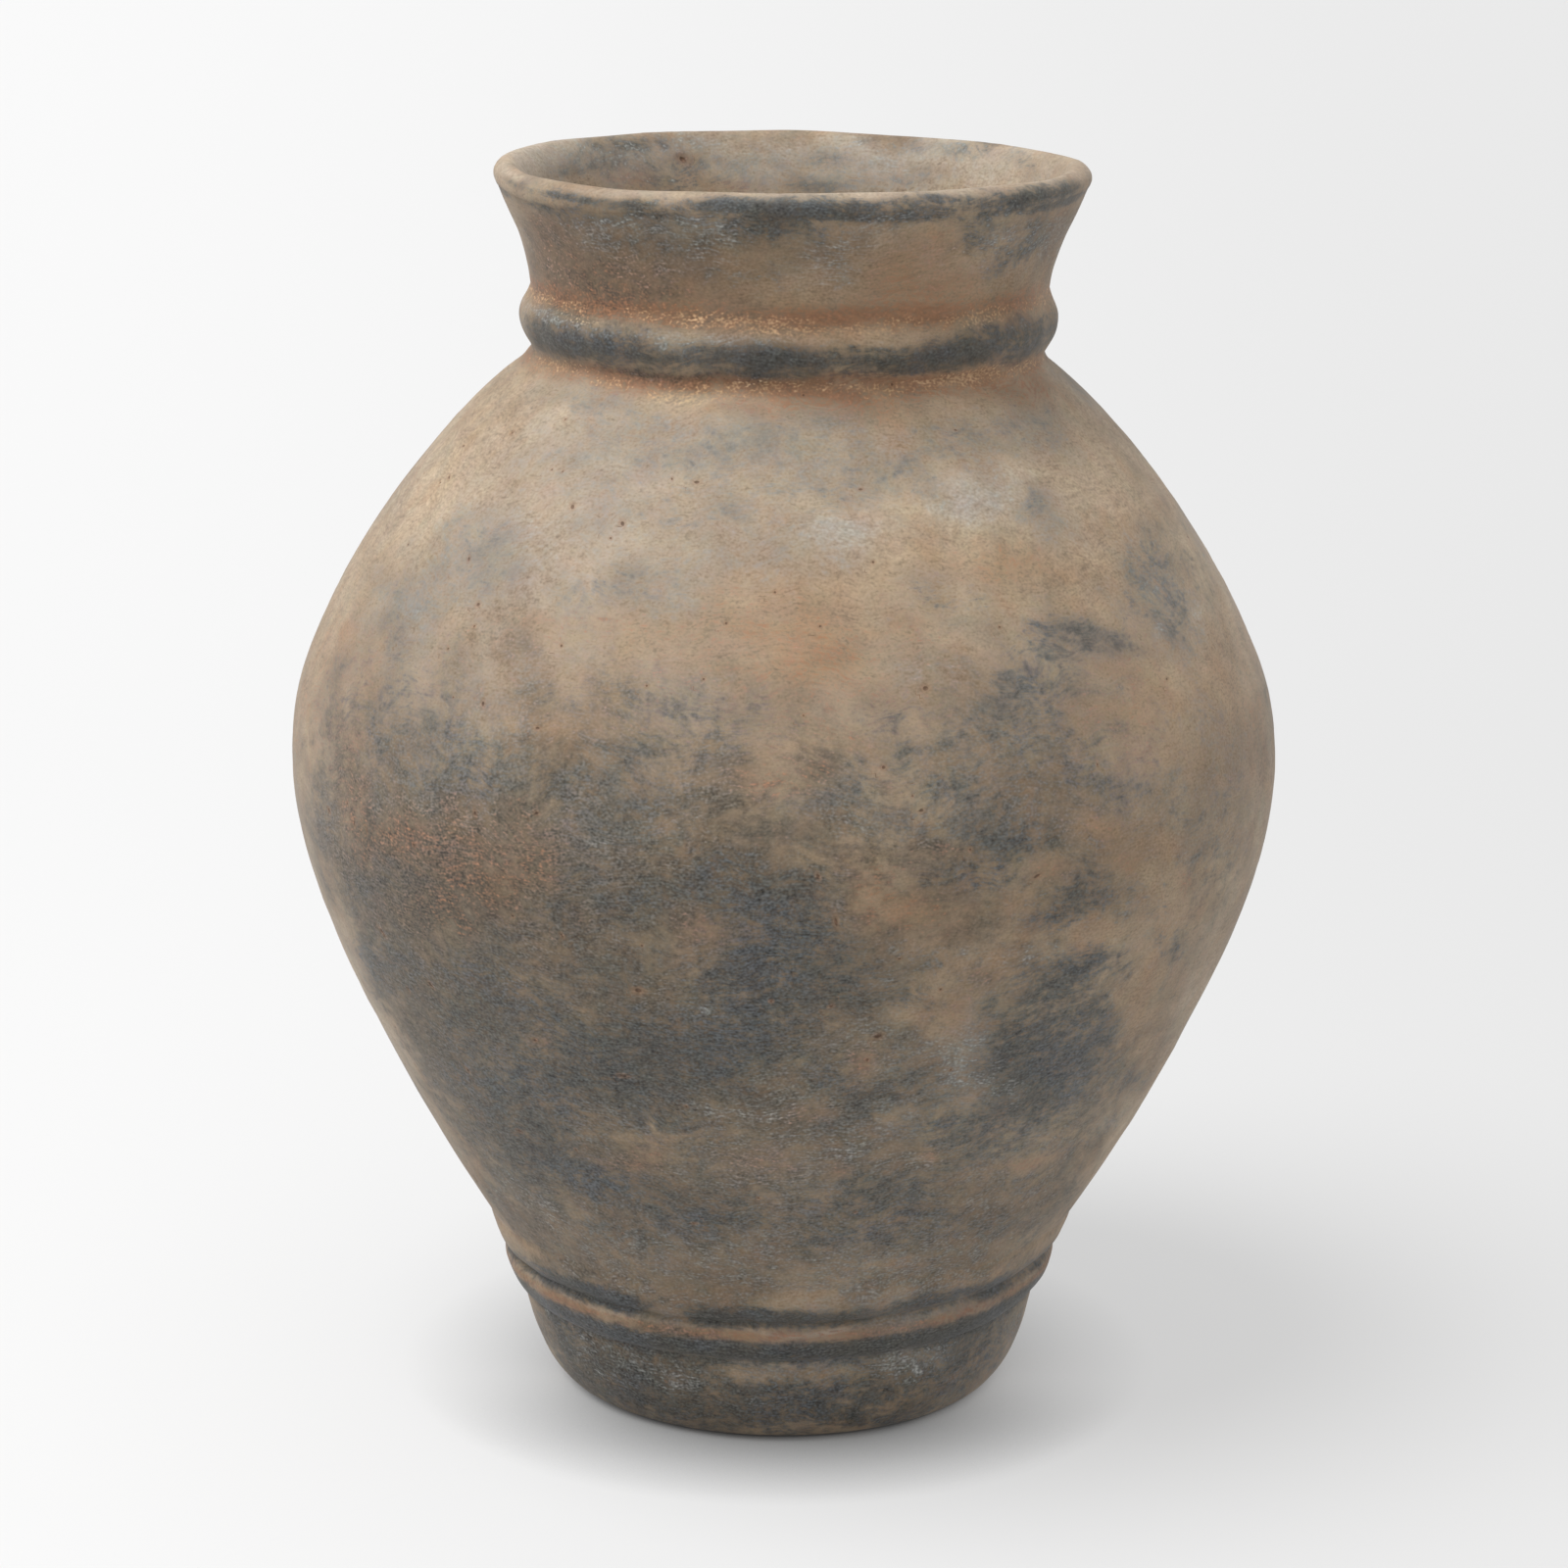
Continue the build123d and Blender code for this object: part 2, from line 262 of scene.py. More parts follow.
def relaxed(p):
    """The slow hand-made deviations, which every surface of every piece follows alike."""
    x, y, z = p[..., 0], p[..., 1], p[..., 2]
    th = np.arctan2(y, x)
    c = np.cos(th)
    dx = np.interp(z, LEAN_Z, LEAN_X)
    swell = waves(p * np.array([1, 1, 0.7]), 170, 420, 14, 5) * 0.5 * smooth(z, 4, 60)
    swell = swell + np.maximum(c, 0) ** 2 * side(z, RIGHT) + np.maximum(-c, 0) ** 2 * side(z, LEFT)
    tilt = -(0.7 + 1.4 * c) * np.exp(-((z - 443) / 14) ** 2) * smooth(c, -0.9, -0.3)          # the neck band sits lower on the right
    warp = -(1.2 * np.maximum(np.sin(2 * th), 0) * (1 - c) / 1.71 + 1.75 * np.exp(-((th - 0.52) / 0.36) ** 2)
             - 1.8 * np.exp(-((np.abs(th) - math.pi) / 0.35) ** 2)) * smooth(z, 474, 503)
    wave = (0.35 * np.sin(3 * th + 0.7) + 0.22 * np.sin(7 * th + 2.1)) * smooth(z, 480, 503)
    return np.stack([x + dx + c * swell, y + np.sin(th) * swell, z + tilt + warp + wave], -1)


def normals(p):
    """Unit normals of a grid of points that closes on itself around the axis, pointing out of the clay."""
    along = np.gradient(p, axis=0)
    around = np.roll(p, -1, 1) - np.roll(p, 1, 1)
    n = np.cross(around, along)
    return n / np.maximum(np.linalg.norm(n, axis=2, keepdims=True), 1e-12)


# ------------------------------------------------------------------ where a place in the picture lies on the jar
# The picture's frame is 1600 by 1600. The eye stands 1.75 m in front of the axis, 0.6975 m up, and looks 14.35
# degrees down; the picture is turned by a third of a degree.
EYE_Y, EYE_Z, PITCH, FOCAL, ROLL = -1750.0, 697.5, math.radians(14.35), 4490.0, math.radians(0.35)

lip_top = int(np.argmax(lip_rows[:, 1]))
OUT_R = np.concatenate([foot_rows, lowc_rows[1:], upc_rows[1:], body_rows[1:], ncord_rows[1:], neck_rows[1:], lip_rows[1:lip_top + 1]])
OUT_S = np.concatenate([ALONG["foot"][n_under:], ALONG["lowc"][1:], ALONG["wall"][1:], ALONG["lip"][1:lip_top + 1]])
IN_R = GROUPS["lip"][lip_top:][::-1]
IN_S = ALONG["lip"][lip_top:][::-1]


def picture(p):
    """Where points of the jar (mm) lie in the picture."""
    y, z = p[..., 1] - EYE_Y, p[..., 2] - EYE_Z
    depth = y * math.cos(PITCH) - z * math.sin(PITCH)
    up = y * math.sin(PITCH) + z * math.cos(PITCH)
    u, v = FOCAL * p[..., 0] / depth, -FOCAL * up / depth
    c, s = math.cos(ROLL), math.sin(ROLL)
    return 800 + c * u - s * v, 800 + s * u + c * v


def place(u, v, inside=False):
    """The angle (radians) and distance along the section (mm) of the place seen at (u, v)."""
    c, s = math.cos(ROLL), math.sin(ROLL)
    du, dv = u - 800, v - 800
    a, b = (c * du + s * dv) / FOCAL, -(c * dv - s * du) / FOCAL
    d = np.array([a, math.cos(PITCH) + b * math.sin(PITCH), -math.sin(PITCH) + b * math.cos(PITCH)])
    t = np.arange(1450, 2150, 0.25)[:, None]
    p = np.array([0, EYE_Y, EYE_Z]) + t * d
    rho, z = np.hypot(p[:, 0], p[:, 1]), p[:, 2]
    if inside:
        wall = np.interp(z, IN_R[:, 1], IN_R[:, 0])
        hit = (z < 505) & (rho > wall) & (p[:, 1] > 0)
    else:
        wall = np.interp(z, OUT_R[:, 1], OUT_R[:, 0])
        hit = (z < 505) & (z > 0) & (rho < wall)
    if hit.any():
        i = int(np.argmax(hit))
    else:                                   # just off the outline: the nearest pass
        i = int(np.argmin(np.abs(rho - wall) + 1e3 * ((z > 505) | (z < 0))))
    th = math.atan2(p[i, 1], p[i, 0])
    s = float(np.interp(z[i], *((IN_R[:, 1], IN_S) if inside else (OUT_R[:, 1], OUT_S))))
    for _ in range(3 if hit.any() else 0):              # the same place on the uneven jar
        r, h = section_at(s)
        off = np.array([u, v]) - np.stack(picture(relaxed(np.array([r * math.cos(th), r * math.sin(th), h]))))
        m = stretch(th, s)
        if abs(np.linalg.det(m)) < 0.8:
            break
        around, along = np.linalg.solve(m, off)
        th, s = th + around / float(r), s + along
    return th, s


def section_at(s):
    """Radius and height on the section at a distance along it."""
    key = np.concatenate([OUT_S, IN_S[::-1][1:]])
    both = np.concatenate([OUT_R, IN_R[::-1][1:]])
    return np.interp(s, key, both[:, 0]), np.interp(s, key, both[:, 1])


def stretch(th, s):
    """How the picture moves per millimetre around and along the section, as a 2 by 2 matrix."""
    def point(t, d):
        r, z = section_at(d)
        return np.stack(picture(np.array([r * math.cos(t), r * math.sin(t), z])))
    r, _ = section_at(s)
    h = 0.5
    return np.stack([(point(th + h / r, s) - point(th - h / r, s)) / (2 * h), (point(th, s + h) - point(th, s - h)) / (2 * h)], 1)


class Coat:
    """One painted layer: its density on every row and column of each surface."""

    def __init__(self):
        self.on = {g: np.zeros((len(rows), N)) for g, rows in GROUPS.items()}

    def dab(self, th, s, m, amount, hard=1.0):
        """Lays a soft uneven dab. m turns millimetres around and along into radii."""
        inv = np.linalg.inv(m)
        reach_a, reach_s = 2.2 * np.linalg.norm(inv[0]), 2.2 * np.linalg.norm(inv[1])
        size = float(np.linalg.svd(inv, compute_uv=False).min())        # the narrower half width
        r0 = max(float(section_at(s)[0]), 12.0)
        for g, along in ALONG.items():
            i0, i1 = np.searchsorted(along, [s - reach_s, s + reach_s])
            if i0 == i1:
                continue
            diff = (ANGLE - th + math.pi) % (2 * math.pi) - math.pi
            cols = np.nonzero(np.abs(diff) * r0 < reach_a)[0]
            if not len(cols):
                continue
            box = np.ix_(np.arange(i0, i1), cols)
            w1a, w1s, w2a, w2s = (WARP[g][k][box] for k in range(4))
            a = diff[cols][None, :] * r0 + size * (0.30 * w1a + 0.12 * w2a)
            b = (along[i0:i1] - s)[:, None] + size * (0.22 * w1s + 0.10 * w2s)
            q = (m[0, 0] * a + m[0, 1] * b) ** 2 + (m[1, 0] * a + m[1, 1] * b) ** 2
            self.on[g][box] += amount * np.exp(-1.25 * q**hard)

    def seen(self, dabs, gain=1.0, spread=1.0, inside=False):
        """Dabs given where they lie in the picture: u, v, half width, half height, turn in degrees, amount."""
        for u, v, rx, ry, turned, amount in dabs:
            th, s = place(u, v, inside)
            j = stretch(th, s)
            c, n = math.cos(math.radians(turned)), math.sin(math.radians(turned))
            m = np.diag([1 / rx, 1 / ry]) / spread @ np.array([[c, n], [-n, c]]) @ j
            w, sv, vt = np.linalg.svd(m)
            sv = np.maximum(sv, sv.max() / 9.0)         # a dab near the outline isn't drawn out endlessly
            self.dab(th, s, w @ np.diag(sv) @ vt, amount * gain)

    def ring(self, height, half, amount, seed, uneven=0.35):
        """A stroke all around the outside, at a height, thicker in some places than in others."""
        for g in ("foot", "lowc", "wall", "lip"):
            p = IDEAL[g][:lip_top] if g == "lip" else IDEAL[g]
            z = p[..., 2] + 0.7 * waves(p, 40, 120, 10, seed + 500)
            self.on[g][:len(p)] += amount * np.exp(-np.abs((z - height) / half) ** 2.5) * np.maximum(1 + uneven * waves(p, 25, 110, 12, seed), 0)

    def unseen(self, count, heights, size, flat, amount, seed):
        """Seeded dabs on the sides that the picture doesn't show."""
        rng = np.random.RandomState(seed)
        for _ in range(count):
            th = math.radians(rng.uniform(-8, 188))
            z = rng.uniform(*heights)
            s = float(np.interp(z, OUT_R[:, 1], OUT_S))
            a = math.exp(rng.uniform(math.log(size[0]), math.log(size[1])))
            b = a * rng.uniform(*flat)
            t = rng.normal(0, 0.35)
            c, n = math.cos(t), math.sin(t)
            edge = smooth(np.array([math.sin(th)]), -0.14, 0.02)[0]
            self.dab(th, s, np.diag([1 / a, 1 / b]) @ np.array([[c, n], [-n, c]]), rng.uniform(*amount) * edge)


IDEAL = {g: ideal(rows) for g, rows in GROUPS.items()}
WARP = {g: [waves(p, *band, 12, seed) for band, seed in (((18, 70), 11), ((18, 70), 12), ((5, 16), 13), ((5, 16), 14))] for g, p in IDEAL.items()}

# ------------------------------------------------------------------ what the brush and the rag left, and painted shade and highlights, by place
# Each entry: across, down, half width, half height, turn in degrees (clockwise), amount.
COLLAR_WASH_AND_SHADE = [
    # under the lip, dark wash and partly painted shade, and on the collar
    (745, 208, 60, 6, 0, 2.2), (790, 212, 50, 9, 0, 2.1), (830, 213, 40, 9, 0, 1.5), (870, 210, 34, 6, -3, 1.3),
    (790, 230, 46, 12, 0, 1.2), (640, 208, 66, 4, 3, 1.6), (575, 201, 40, 4, 8, 1.1), (960, 203, 90, 4, -3, 1.5),
    (1045, 204, 34, 9, -10, 1.9), (1085, 196, 20, 8, -25, 1.7), (660, 222, 60, 9, 2, .6), (920, 216, 60, 8, -2, .6),
    (560, 198, 40, 3, 8, .8), (600, 204, 50, 3, 4, 1.0), (525, 188, 20, 4, 22, .5), (1000, 238, 22, 14, 0, .6), (1055, 250, 10, 34, 32, .6),
    (620, 246, 50, 9, 0, .5), (600, 224, 45, 8, 0, .5), (860, 268, 16, 26, 0, .34), (740, 284, 70, 12, 0, .22),
    (930, 222, 40, 7, 0, .5), (690, 250, 45, 9, 0, .32), (1022, 270, 14, 30, 26, .5), (720, 228, 60, 8, 0, .5),
    (800, 201, 280, 3, 0, .3), (560, 192, 40, 4, 12, .3), (1040, 196, 50, 4, -12, .35),
    # the neck band
    (560, 335, 22, 16, 20, .75), (575, 350, 28, 13, 15, .95), (620, 357, 40, 13, 8, 1.0), (670, 364, 40, 11, 3, .95),
    (740, 366, 50, 11, 1, 1.0), (790, 366, 35, 10, 0, .95), (820, 364, 20, 9, 0, .6), (855, 370, 40, 6, 0, .4),
    (905, 370, 50, 7, 0, .5), (940, 362, 35, 9, -3, .5), (985, 352, 26, 13, -8, 1.0), (1020, 346, 30, 12, -10, .95),
    (1060, 335, 16, 14, -15, .85), (660, 384, 60, 4, 4, .5), (780, 384, 90, 4, 0, .55), (910, 380, 60, 4, -2, .5),
]
SHOULDER_WASH = [
    (735, 456, 60, 20, 0, .42), (604, 409, 42, 12, 8, .32), (640, 452, 50, 26, 0, .26), (792, 440, 36, 15, 0, .38),
    (747, 514, 15, 12, 0, .35), (492, 552, 26, 30, 20, .46), (438, 603, 30, 36, 25, .42), (505, 560, 30, 20, 0, .3),
    (400, 640, 24, 40, 20, .42), (623, 610, 44, 22, 0, .3), (671, 578, 80, 40, 0, .2), (900, 470, 50, 18, 0, .26),
    (880, 505, 30, 10, 0, .3), (1061, 519, 16, 15, 0, .5), (1071, 540, 18, 20, 0, .36), (950, 470, 60, 20, 0, .26),
    (1050, 432, 36, 20, 15, .36), (1000, 450, 40, 12, 10, .25), (610, 520, 36, 24, 0, .26), (560, 470, 40, 20, -20, .18),
    (860, 500, 60, 14, 0, .2), (820, 560, 50, 20, 0, .16),
]
BODY_WASH = [
    # left
    (432, 747, 42, 50, 0, .36), (473, 795, 42, 40, 0, .5), (518, 763, 42, 24, 0, .32), (395, 740, 24, 60, 10, .36),
    (703, 724, 62, 20, 0, .32), (751, 747, 50, 30, 0, .32), (636, 763, 44, 26, 0, .36), (671, 795, 60, 25, 0, .46),
    (604, 804, 44, 26, 0, .42), (598, 858, 42, 25, 0, .52), (640, 846, 44, 16, 0, .5), (345, 720, 16, 50, 8, .3),
    (560, 700, 50, 24, 0, .18), (330, 830, 12, 40, -10, .25), (430, 884, 42, 18, -12, .46), (380, 905, 32, 22, -20, .34),
    (390, 985, 24, 26, -28, .5), (480, 990, 38, 14, 0, .55), (520, 955, 20, 20, 0, .42), (575, 930, 30, 25, 0, .52),
    (590, 895, 26, 12, 0, .5), (640, 925, 32, 25, 0, .46), (700, 905, 40, 20, 0, .4), (735, 882, 28, 12, 0, .45),
    (780, 905, 45, 30, 0, .55), (785, 945, 42, 40, 0, .68), (760, 1000, 50, 30, 0, .5), (800, 1010, 45, 40, 0, .58),
    (700, 985, 40, 20, 0, .3), (600, 985, 50, 25, 0, .3), (540, 1020, 40, 20, 0, .42), (480, 1040, 32, 26, -20, .5),
    (470, 1090, 26, 22, -30, .42), (640, 1090, 90, 34, 0, .76), (560, 1110, 52, 34, 10, .7), (630, 1112, 52, 20, 0, .7),
    (700, 1070, 62, 26, 0, .66), (760, 1045, 52, 36, 0, .6), (755, 1078, 52, 24, 0, .5), (500, 1130, 36, 26, 30, .55),
    (540, 1180, 52, 24, 22, .72), (590, 1196, 52, 11, 12, .9), (640, 1214, 46, 12, 10, .74), (560, 1162, 42, 20, 12, .6),
    (720, 1235, 42, 14, 0, .52), (690, 1243, 32, 18, 0, .42), (620, 1256, 44, 9, 8, .42), (710, 1150, 32, 10, 0, .4),
    (700, 1182, 34, 12, 0, .42), (660, 1150, 40, 12, 0, .4), (580, 1060, 60, 20, 0, .5), (760, 1250, 60, 12, 0, .45),
    # right
    (1100, 643, 32, 4, 8, .9), (1130, 655, 26, 4, 24, .9), (1112, 661, 30, 4, 18, .7), (1085, 670, 26, 4, 12, .6),
    (1179, 605, 24, 38, -10, .6), (1205, 640, 20, 30, -10, .42), (1081, 653, 26, 20, 0, .7), (1141, 661, 26, 11, 18, .62),
    (1106, 645, 30, 8, 10, .45), (1077, 691, 46, 34, -20, .6), (1042, 722, 26, 26, 0, .66), (905, 722, 34, 16, 0, .36),
    (953, 612, 42, 20, 0, .3), (1080, 757, 84, 48, 0, .3), (1151, 806, 42, 32, 0, .5), (978, 809, 26, 13, 0, .66),
    (998, 838, 42, 19, 8, .66), (1023, 863, 42, 16, 0, .66), (991, 896, 60, 10, -3, .6), (908, 841, 32, 12, 0, .42),
    (873, 803, 13, 26, 0, .8), (850, 818, 24, 10, 0, .52), (811, 817, 26, 10, 0, .4), (1119, 886, 20, 20, 0, .52),
    (1103, 921, 36, 14, -10, .66), (1071, 938, 20, 9, -10, .55), (1124, 980, 30, 15, -12, .76), (1093, 990, 40, 11, -5, .7),
    (1240, 765, 16, 60, -6, .26), (1224, 836, 22, 50, 0, .26), (1262, 803, 12, 50, 0, .3), (1075, 1012, 28, 14, 0, .62),
    (1062, 1050, 42, 28, 0, 1.0), (1040, 1084, 46, 26, 0, 1.3), (1092, 1090, 40, 20, -20, .62), (1054, 1120, 36, 24, 0, 1.15),
    (1020, 1132, 22, 15, 0, .6), (1110, 1050, 25, 40, -20, .5), (880, 1120, 32, 18, 0, .62), (850, 1100, 22, 15, 0, .42),
    (832, 960, 42, 30, 0, .6), (862, 985, 32, 14, 0, .5), (900, 1015, 52, 15, 0, .46), (970, 1150, 32, 30, 0, .36),
    (1000, 1160, 32, 25, 0, .42), (900, 1210, 62, 14, 0, .52), (860, 1230, 42, 12, 0, .5), (930, 1236, 42, 13, 0, .52),
    (870, 1264, 80, 10, -2, .45), (1160, 1105, 20, 8, -32, .42), (1090, 1170, 32, 6, -20, .42), (840, 1152, 22, 12, 0, .32),
    (945, 1100, 30, 20, 0, .3), (1000, 760, 50, 20, 0, .3), (930, 770, 40, 16, 0, .25), (960, 980, 30, 10, 0, .3),
    (1160, 900, 20, 40, 0, .2), (1190, 960, 20, 40, -20, .2), (1010, 1250, 40, 14, -12, .3), (1040, 1215, 24, 14, -20, .3),
]
FOOT_WASH = [
    (620, 1400, 40, 20, 18, .6), (680, 1430, 50, 22, 8, .6), (760, 1440, 50, 22, 0, .6), (840, 1440, 50, 22, 0, .55),
    (930, 1400, 35, 25, -10, .55), (990, 1375, 25, 25, -25, .5), (900, 1440, 50, 15, -8, .5), (580, 1370, 20, 25, 30, .4),
    (620, 1395, 70, 45, 15, .35), (760, 1430, 110, 40, 0, .25), (900, 1420, 100, 40, -8, .25), (990, 1370, 40, 45, -25, .3),
    (592, 1322, 40, 10, 20, .5), (650, 1400, 14, 22, 10, .5), (752, 1428, 16, 20, 0, .5), (850, 1424, 18, 18, 0, .5), (950, 1402, 16, 20, -10, .5),
]
# A brown film: brown stain on the neck and body, and over the lower half partly painted shade where the wall faces
# down.
UMBER_AND_SHADE = [
    (470, 900, 150, 70, 0, .75), (640, 890, 150, 80, 0, .52), (800, 900, 140, 90, 0, .48), (960, 890, 150, 80, 0, .36),
    (1110, 880, 110, 70, 0, .28), (470, 1010, 110, 90, -15, .7), (360, 840, 60, 80, -8, .62), (420, 830, 80, 50, 0, .25),
    (600, 730, 130, 60, 0, .2), (540, 1230, 70, 60, 22, .35), (620, 1305, 90, 40, 14, .45), (600, 1385, 40, 50, 22, 1.0),
    (950, 1290, 110, 30, -10, .2), (985, 1400, 40, 46, -24, .3), (1205, 570, 36, 70, -20, .25), (975, 1060, 50, 60, 0, -.3),
    (1030, 890, 80, 50, 0, -.12), (430, 985, 60, 70, -20, .18), (640, 1030, 160, 90, 0, .66), (820, 1040, 150, 90, 0, .62),
    (1000, 1060, 140, 100, 0, .35), (1100, 1030, 70, 90, -15, .33), (560, 1140, 130, 80, 15, .82), (720, 1150, 140, 70, 0, .5),
    (880, 1150, 140, 80, 0, .58), (1020, 1150, 90, 80, -15, .35), (640, 1250, 120, 50, 8, .5), (800, 1260, 150, 50, 0, .58),
    (960, 1250, 110, 50, -8, .58), (430, 770, 100, 70, 0, .24), (640, 790, 160, 60, 0, .22), (840, 800, 160, 60, 0, .2),
    (1010, 790, 160, 70, 0, .19), (1190, 790, 80, 90, 0, .15), (1090, 730, 110, 60, 0, .1), (1240, 800, 36, 110, 0, .14), (1268, 800, 20, 110, 0, .18), (330, 800, 20, 90, 0, .2),
    (640, 1320, 110, 30, 12, .4), (960, 1310, 110, 30, -14, .4), (640, 1410, 90, 50, 15, 1.0), (800, 1430, 120, 50, 0, .65),
    (960, 1400, 90, 50, -15, .5), (720, 238, 130, 34, 0, .46), (900, 236, 110, 30, 0, .25), (1040, 240, 60, 50, 0, .46),
    (575, 262, 56, 60, 0, .85), (620, 280, 70, 40, 0, .4), (740, 285, 140, 30, 0, .3), (900, 262, 110, 22, 0, .12), (670, 290, 70, 30, 0, .35), (600, 340, 60, 14, 12, .5), (880, 362, 110, 14, 0, .3),
    (600, 290, 60, 40, 0, .3),
    (520, 832, 60, 30, 0, .25), (480, 782, 60, 34, 0, .2), (480, 862, 150, 44, 0, .22), (690, 388, 80, 7, 3, .8), (650, 384, 90, 6, 6, .8),
    (1000, 1100, 100, 60, 0, -.22), (860, 990, 40, 30, 0, -.25), (1085, 960, 60, 40, 0, -.18), (1130, 1060, 30, 34, -20, -.25), (995, 1400, 40, 40, -25, -.35),
    (590, 790, 130, 46, 0, .14), (560, 1352, 14, 32, 25, .8), (1032, 1345, 14, 30, -30, .5), (430, 880, 90, 50, 0, .28), (640, 960, 70, 40, 0, .22),
    (860, 990, 50, 40, 0, -.22), (980, 1110, 100, 70, 0, -.22), (960, 1365, 90, 36, -8, -.2), (430, 910, 80, 70, 0, .3), (640, 900, 70, 60, 0, .12), (1165, 1060, 24, 40, -20, -.22), (1085, 1195, 24, 24, -30, -.25), (745, 1200, 50, 24, 0, .3), (395, 960, 26, 70, -26, .62), (440, 1070, 26, 70, -30, .62), (490, 1160, 26, 60, -32, .68), (530, 1235, 22, 40, -32, .6),
    (1150, 1090, 30, 60, 32, .45), (1100, 1170, 30, 60, 32, .5), (1070, 1235, 24, 40, 32, .5), (350, 880, 20, 60, -16, .5),
    (1215, 950, 26, 80, 24, .22), (800, 620, 400, 120, 0, .04), (640, 470, 200, 70, 0, .05), (960, 470, 200, 70, 0, .05),
]
GAP = [
    # collar
    (930, 276, 80, 34, 0, .8), (985, 300, 60, 18, -6, .7), (830, 296, 60, 18, 0, .6), (690, 296, 90, 18, 3, .7), (640, 272, 60, 24, 0, .5),
    (870, 345, 90, 9, 0, .9), (930, 385, 90, 9, -4, .7), (545, 300, 14, 16, 20, .7),
    (575, 262, 34, 40, 0, .6), (1050, 290, 24, 26, -10, .6), (760, 268, 50, 14, 0, .4), (905, 246, 30, 12, 0, .4),
    # right side
    (1225, 725, 46, 80, 0, .6), (1170, 780, 50, 30, 0, .35), (1262, 790, 16, 60, 0, .5),
    # foot wall
    (770, 1402, 50, 8, 0, .7), (850, 1404, 40, 9, 0, .6), (905, 1432, 40, 9, -12, .6), (735, 1426, 20, 10, 0, .5), (620, 1372, 30, 6, 20, .5),
    # lower left
    (430, 852, 80, 24, 0, .35), (485, 880, 40, 15, 0, .5), (522, 906, 26, 15, 0, .5), (540, 985, 22, 30, 35, .42), (640, 960, 32, 18, 0, .4),
    (728, 947, 38, 20, 0, .85), (690, 985, 36, 14, 0, .45), (652, 1012, 24, 12, 0, .5), (598, 1030, 18, 10, 0, .35), (600, 925, 10, 16, 0, .4),
    (545, 1064, 14, 8, 0, .5), (640, 1165, 60, 18, 4, .55), (600, 1150, 36, 12, 10, .4), (690, 1185, 46, 12, 0, .42), (765, 1186, 34, 14, 0, .35),
    (795, 1180, 22, 22, 0, .35), (740, 1150, 40, 9, 0, .4), (560, 1252, 26, 14, 30, .5), (602, 1258, 30, 9, 14, .4), (690, 1277, 70, 7, 5, .5),
    (790, 1265, 24, 26, 0, .45), (640, 1283, 50, 7, 10, .45), (770, 1100, 24, 10, 0, .2), (640, 1098, 12, 4, 0, .4), (700, 840, 40, 12, 0, .2),
    # lower right
    (825, 862, 30, 22, 0, .4), (865, 870, 26, 24, 0, .35), (890, 912, 44, 26, 0, .5), (925, 932, 34, 18, 0, .6), (1000, 930, 46, 12, 0, .4),
    (1045, 915, 22, 12, 0, .45), (1070, 882, 26, 12, 0, .5), (1132, 846, 36, 20, 0, .6), (1150, 874, 26, 18, 0, .45), (1180, 880, 40, 46, 0, .3),
    (985, 985, 46, 14, 0, .55), (1015, 988, 24, 14, 0, .5), (945, 968, 30, 14, 0, .35), (955, 1032, 32, 26, 0, .5), (1165, 985, 24, 55, -22, .42),
    (1160, 1040, 20, 30, -25, .35), (882, 1090, 12, 12, 0, .8), (910, 1138, 26, 8, 0, .5), (828, 1140, 26, 8, 0, .4), (942, 1181, 14, 8, 0, .7),
    (1045, 1186, 44, 9, -13, .55), (1100, 1162, 24, 8, -30, .45), (1045, 1220, 30, 16, -15, .4), (996, 1234, 12, 8, 0, .5), (852, 1214, 16, 9, 0, .45),
    (830, 1180, 30, 14, 0, .3), (990, 1120, 10, 26, 0, .2), (870, 1290, 80, 9, -2, .5), (980, 1275, 50, 9, -14, .45), (1200, 930, 20, 40, -12, .3),
    # shoulder and belly
    (540, 490, 70, 36, -10, .3), (560, 560, 56, 26, 0, .3), (600, 650, 56, 22, 0, .35), (775, 585, 60, 26, 0, .5), (795, 645, 60, 34, 0, .75),
    (530, 690, 44, 14, 0, .5), (560, 742, 80, 16, 0, .5), (600, 776, 24, 9, 0, .35), (650, 402, 34, 10, 4, .3), (1130, 680, 44, 16, 12, .5),
    (1150, 728, 46, 18, 0, .6), (1170, 708, 28, 14, 0, .4), (1005, 580, 56, 18, 0, .5), (1100, 560, 56, 26, 0, .3), (870, 600, 60, 24, 0, .4),
    (825, 662, 44, 24, 0, .6), (830, 762, 44, 12, 0, .45), (1240, 690, 16, 34, 0, .4), (1120, 500, 60, 20, 20, .3), (910, 440, 16, 24, 0, .35),
    (470, 480, 50, 30, -30, .2), (700, 800, 30, 9, 0, .25), (480, 830, 50, 14, 0, .25), (1040, 470, 40, 14, 10, .3),
]
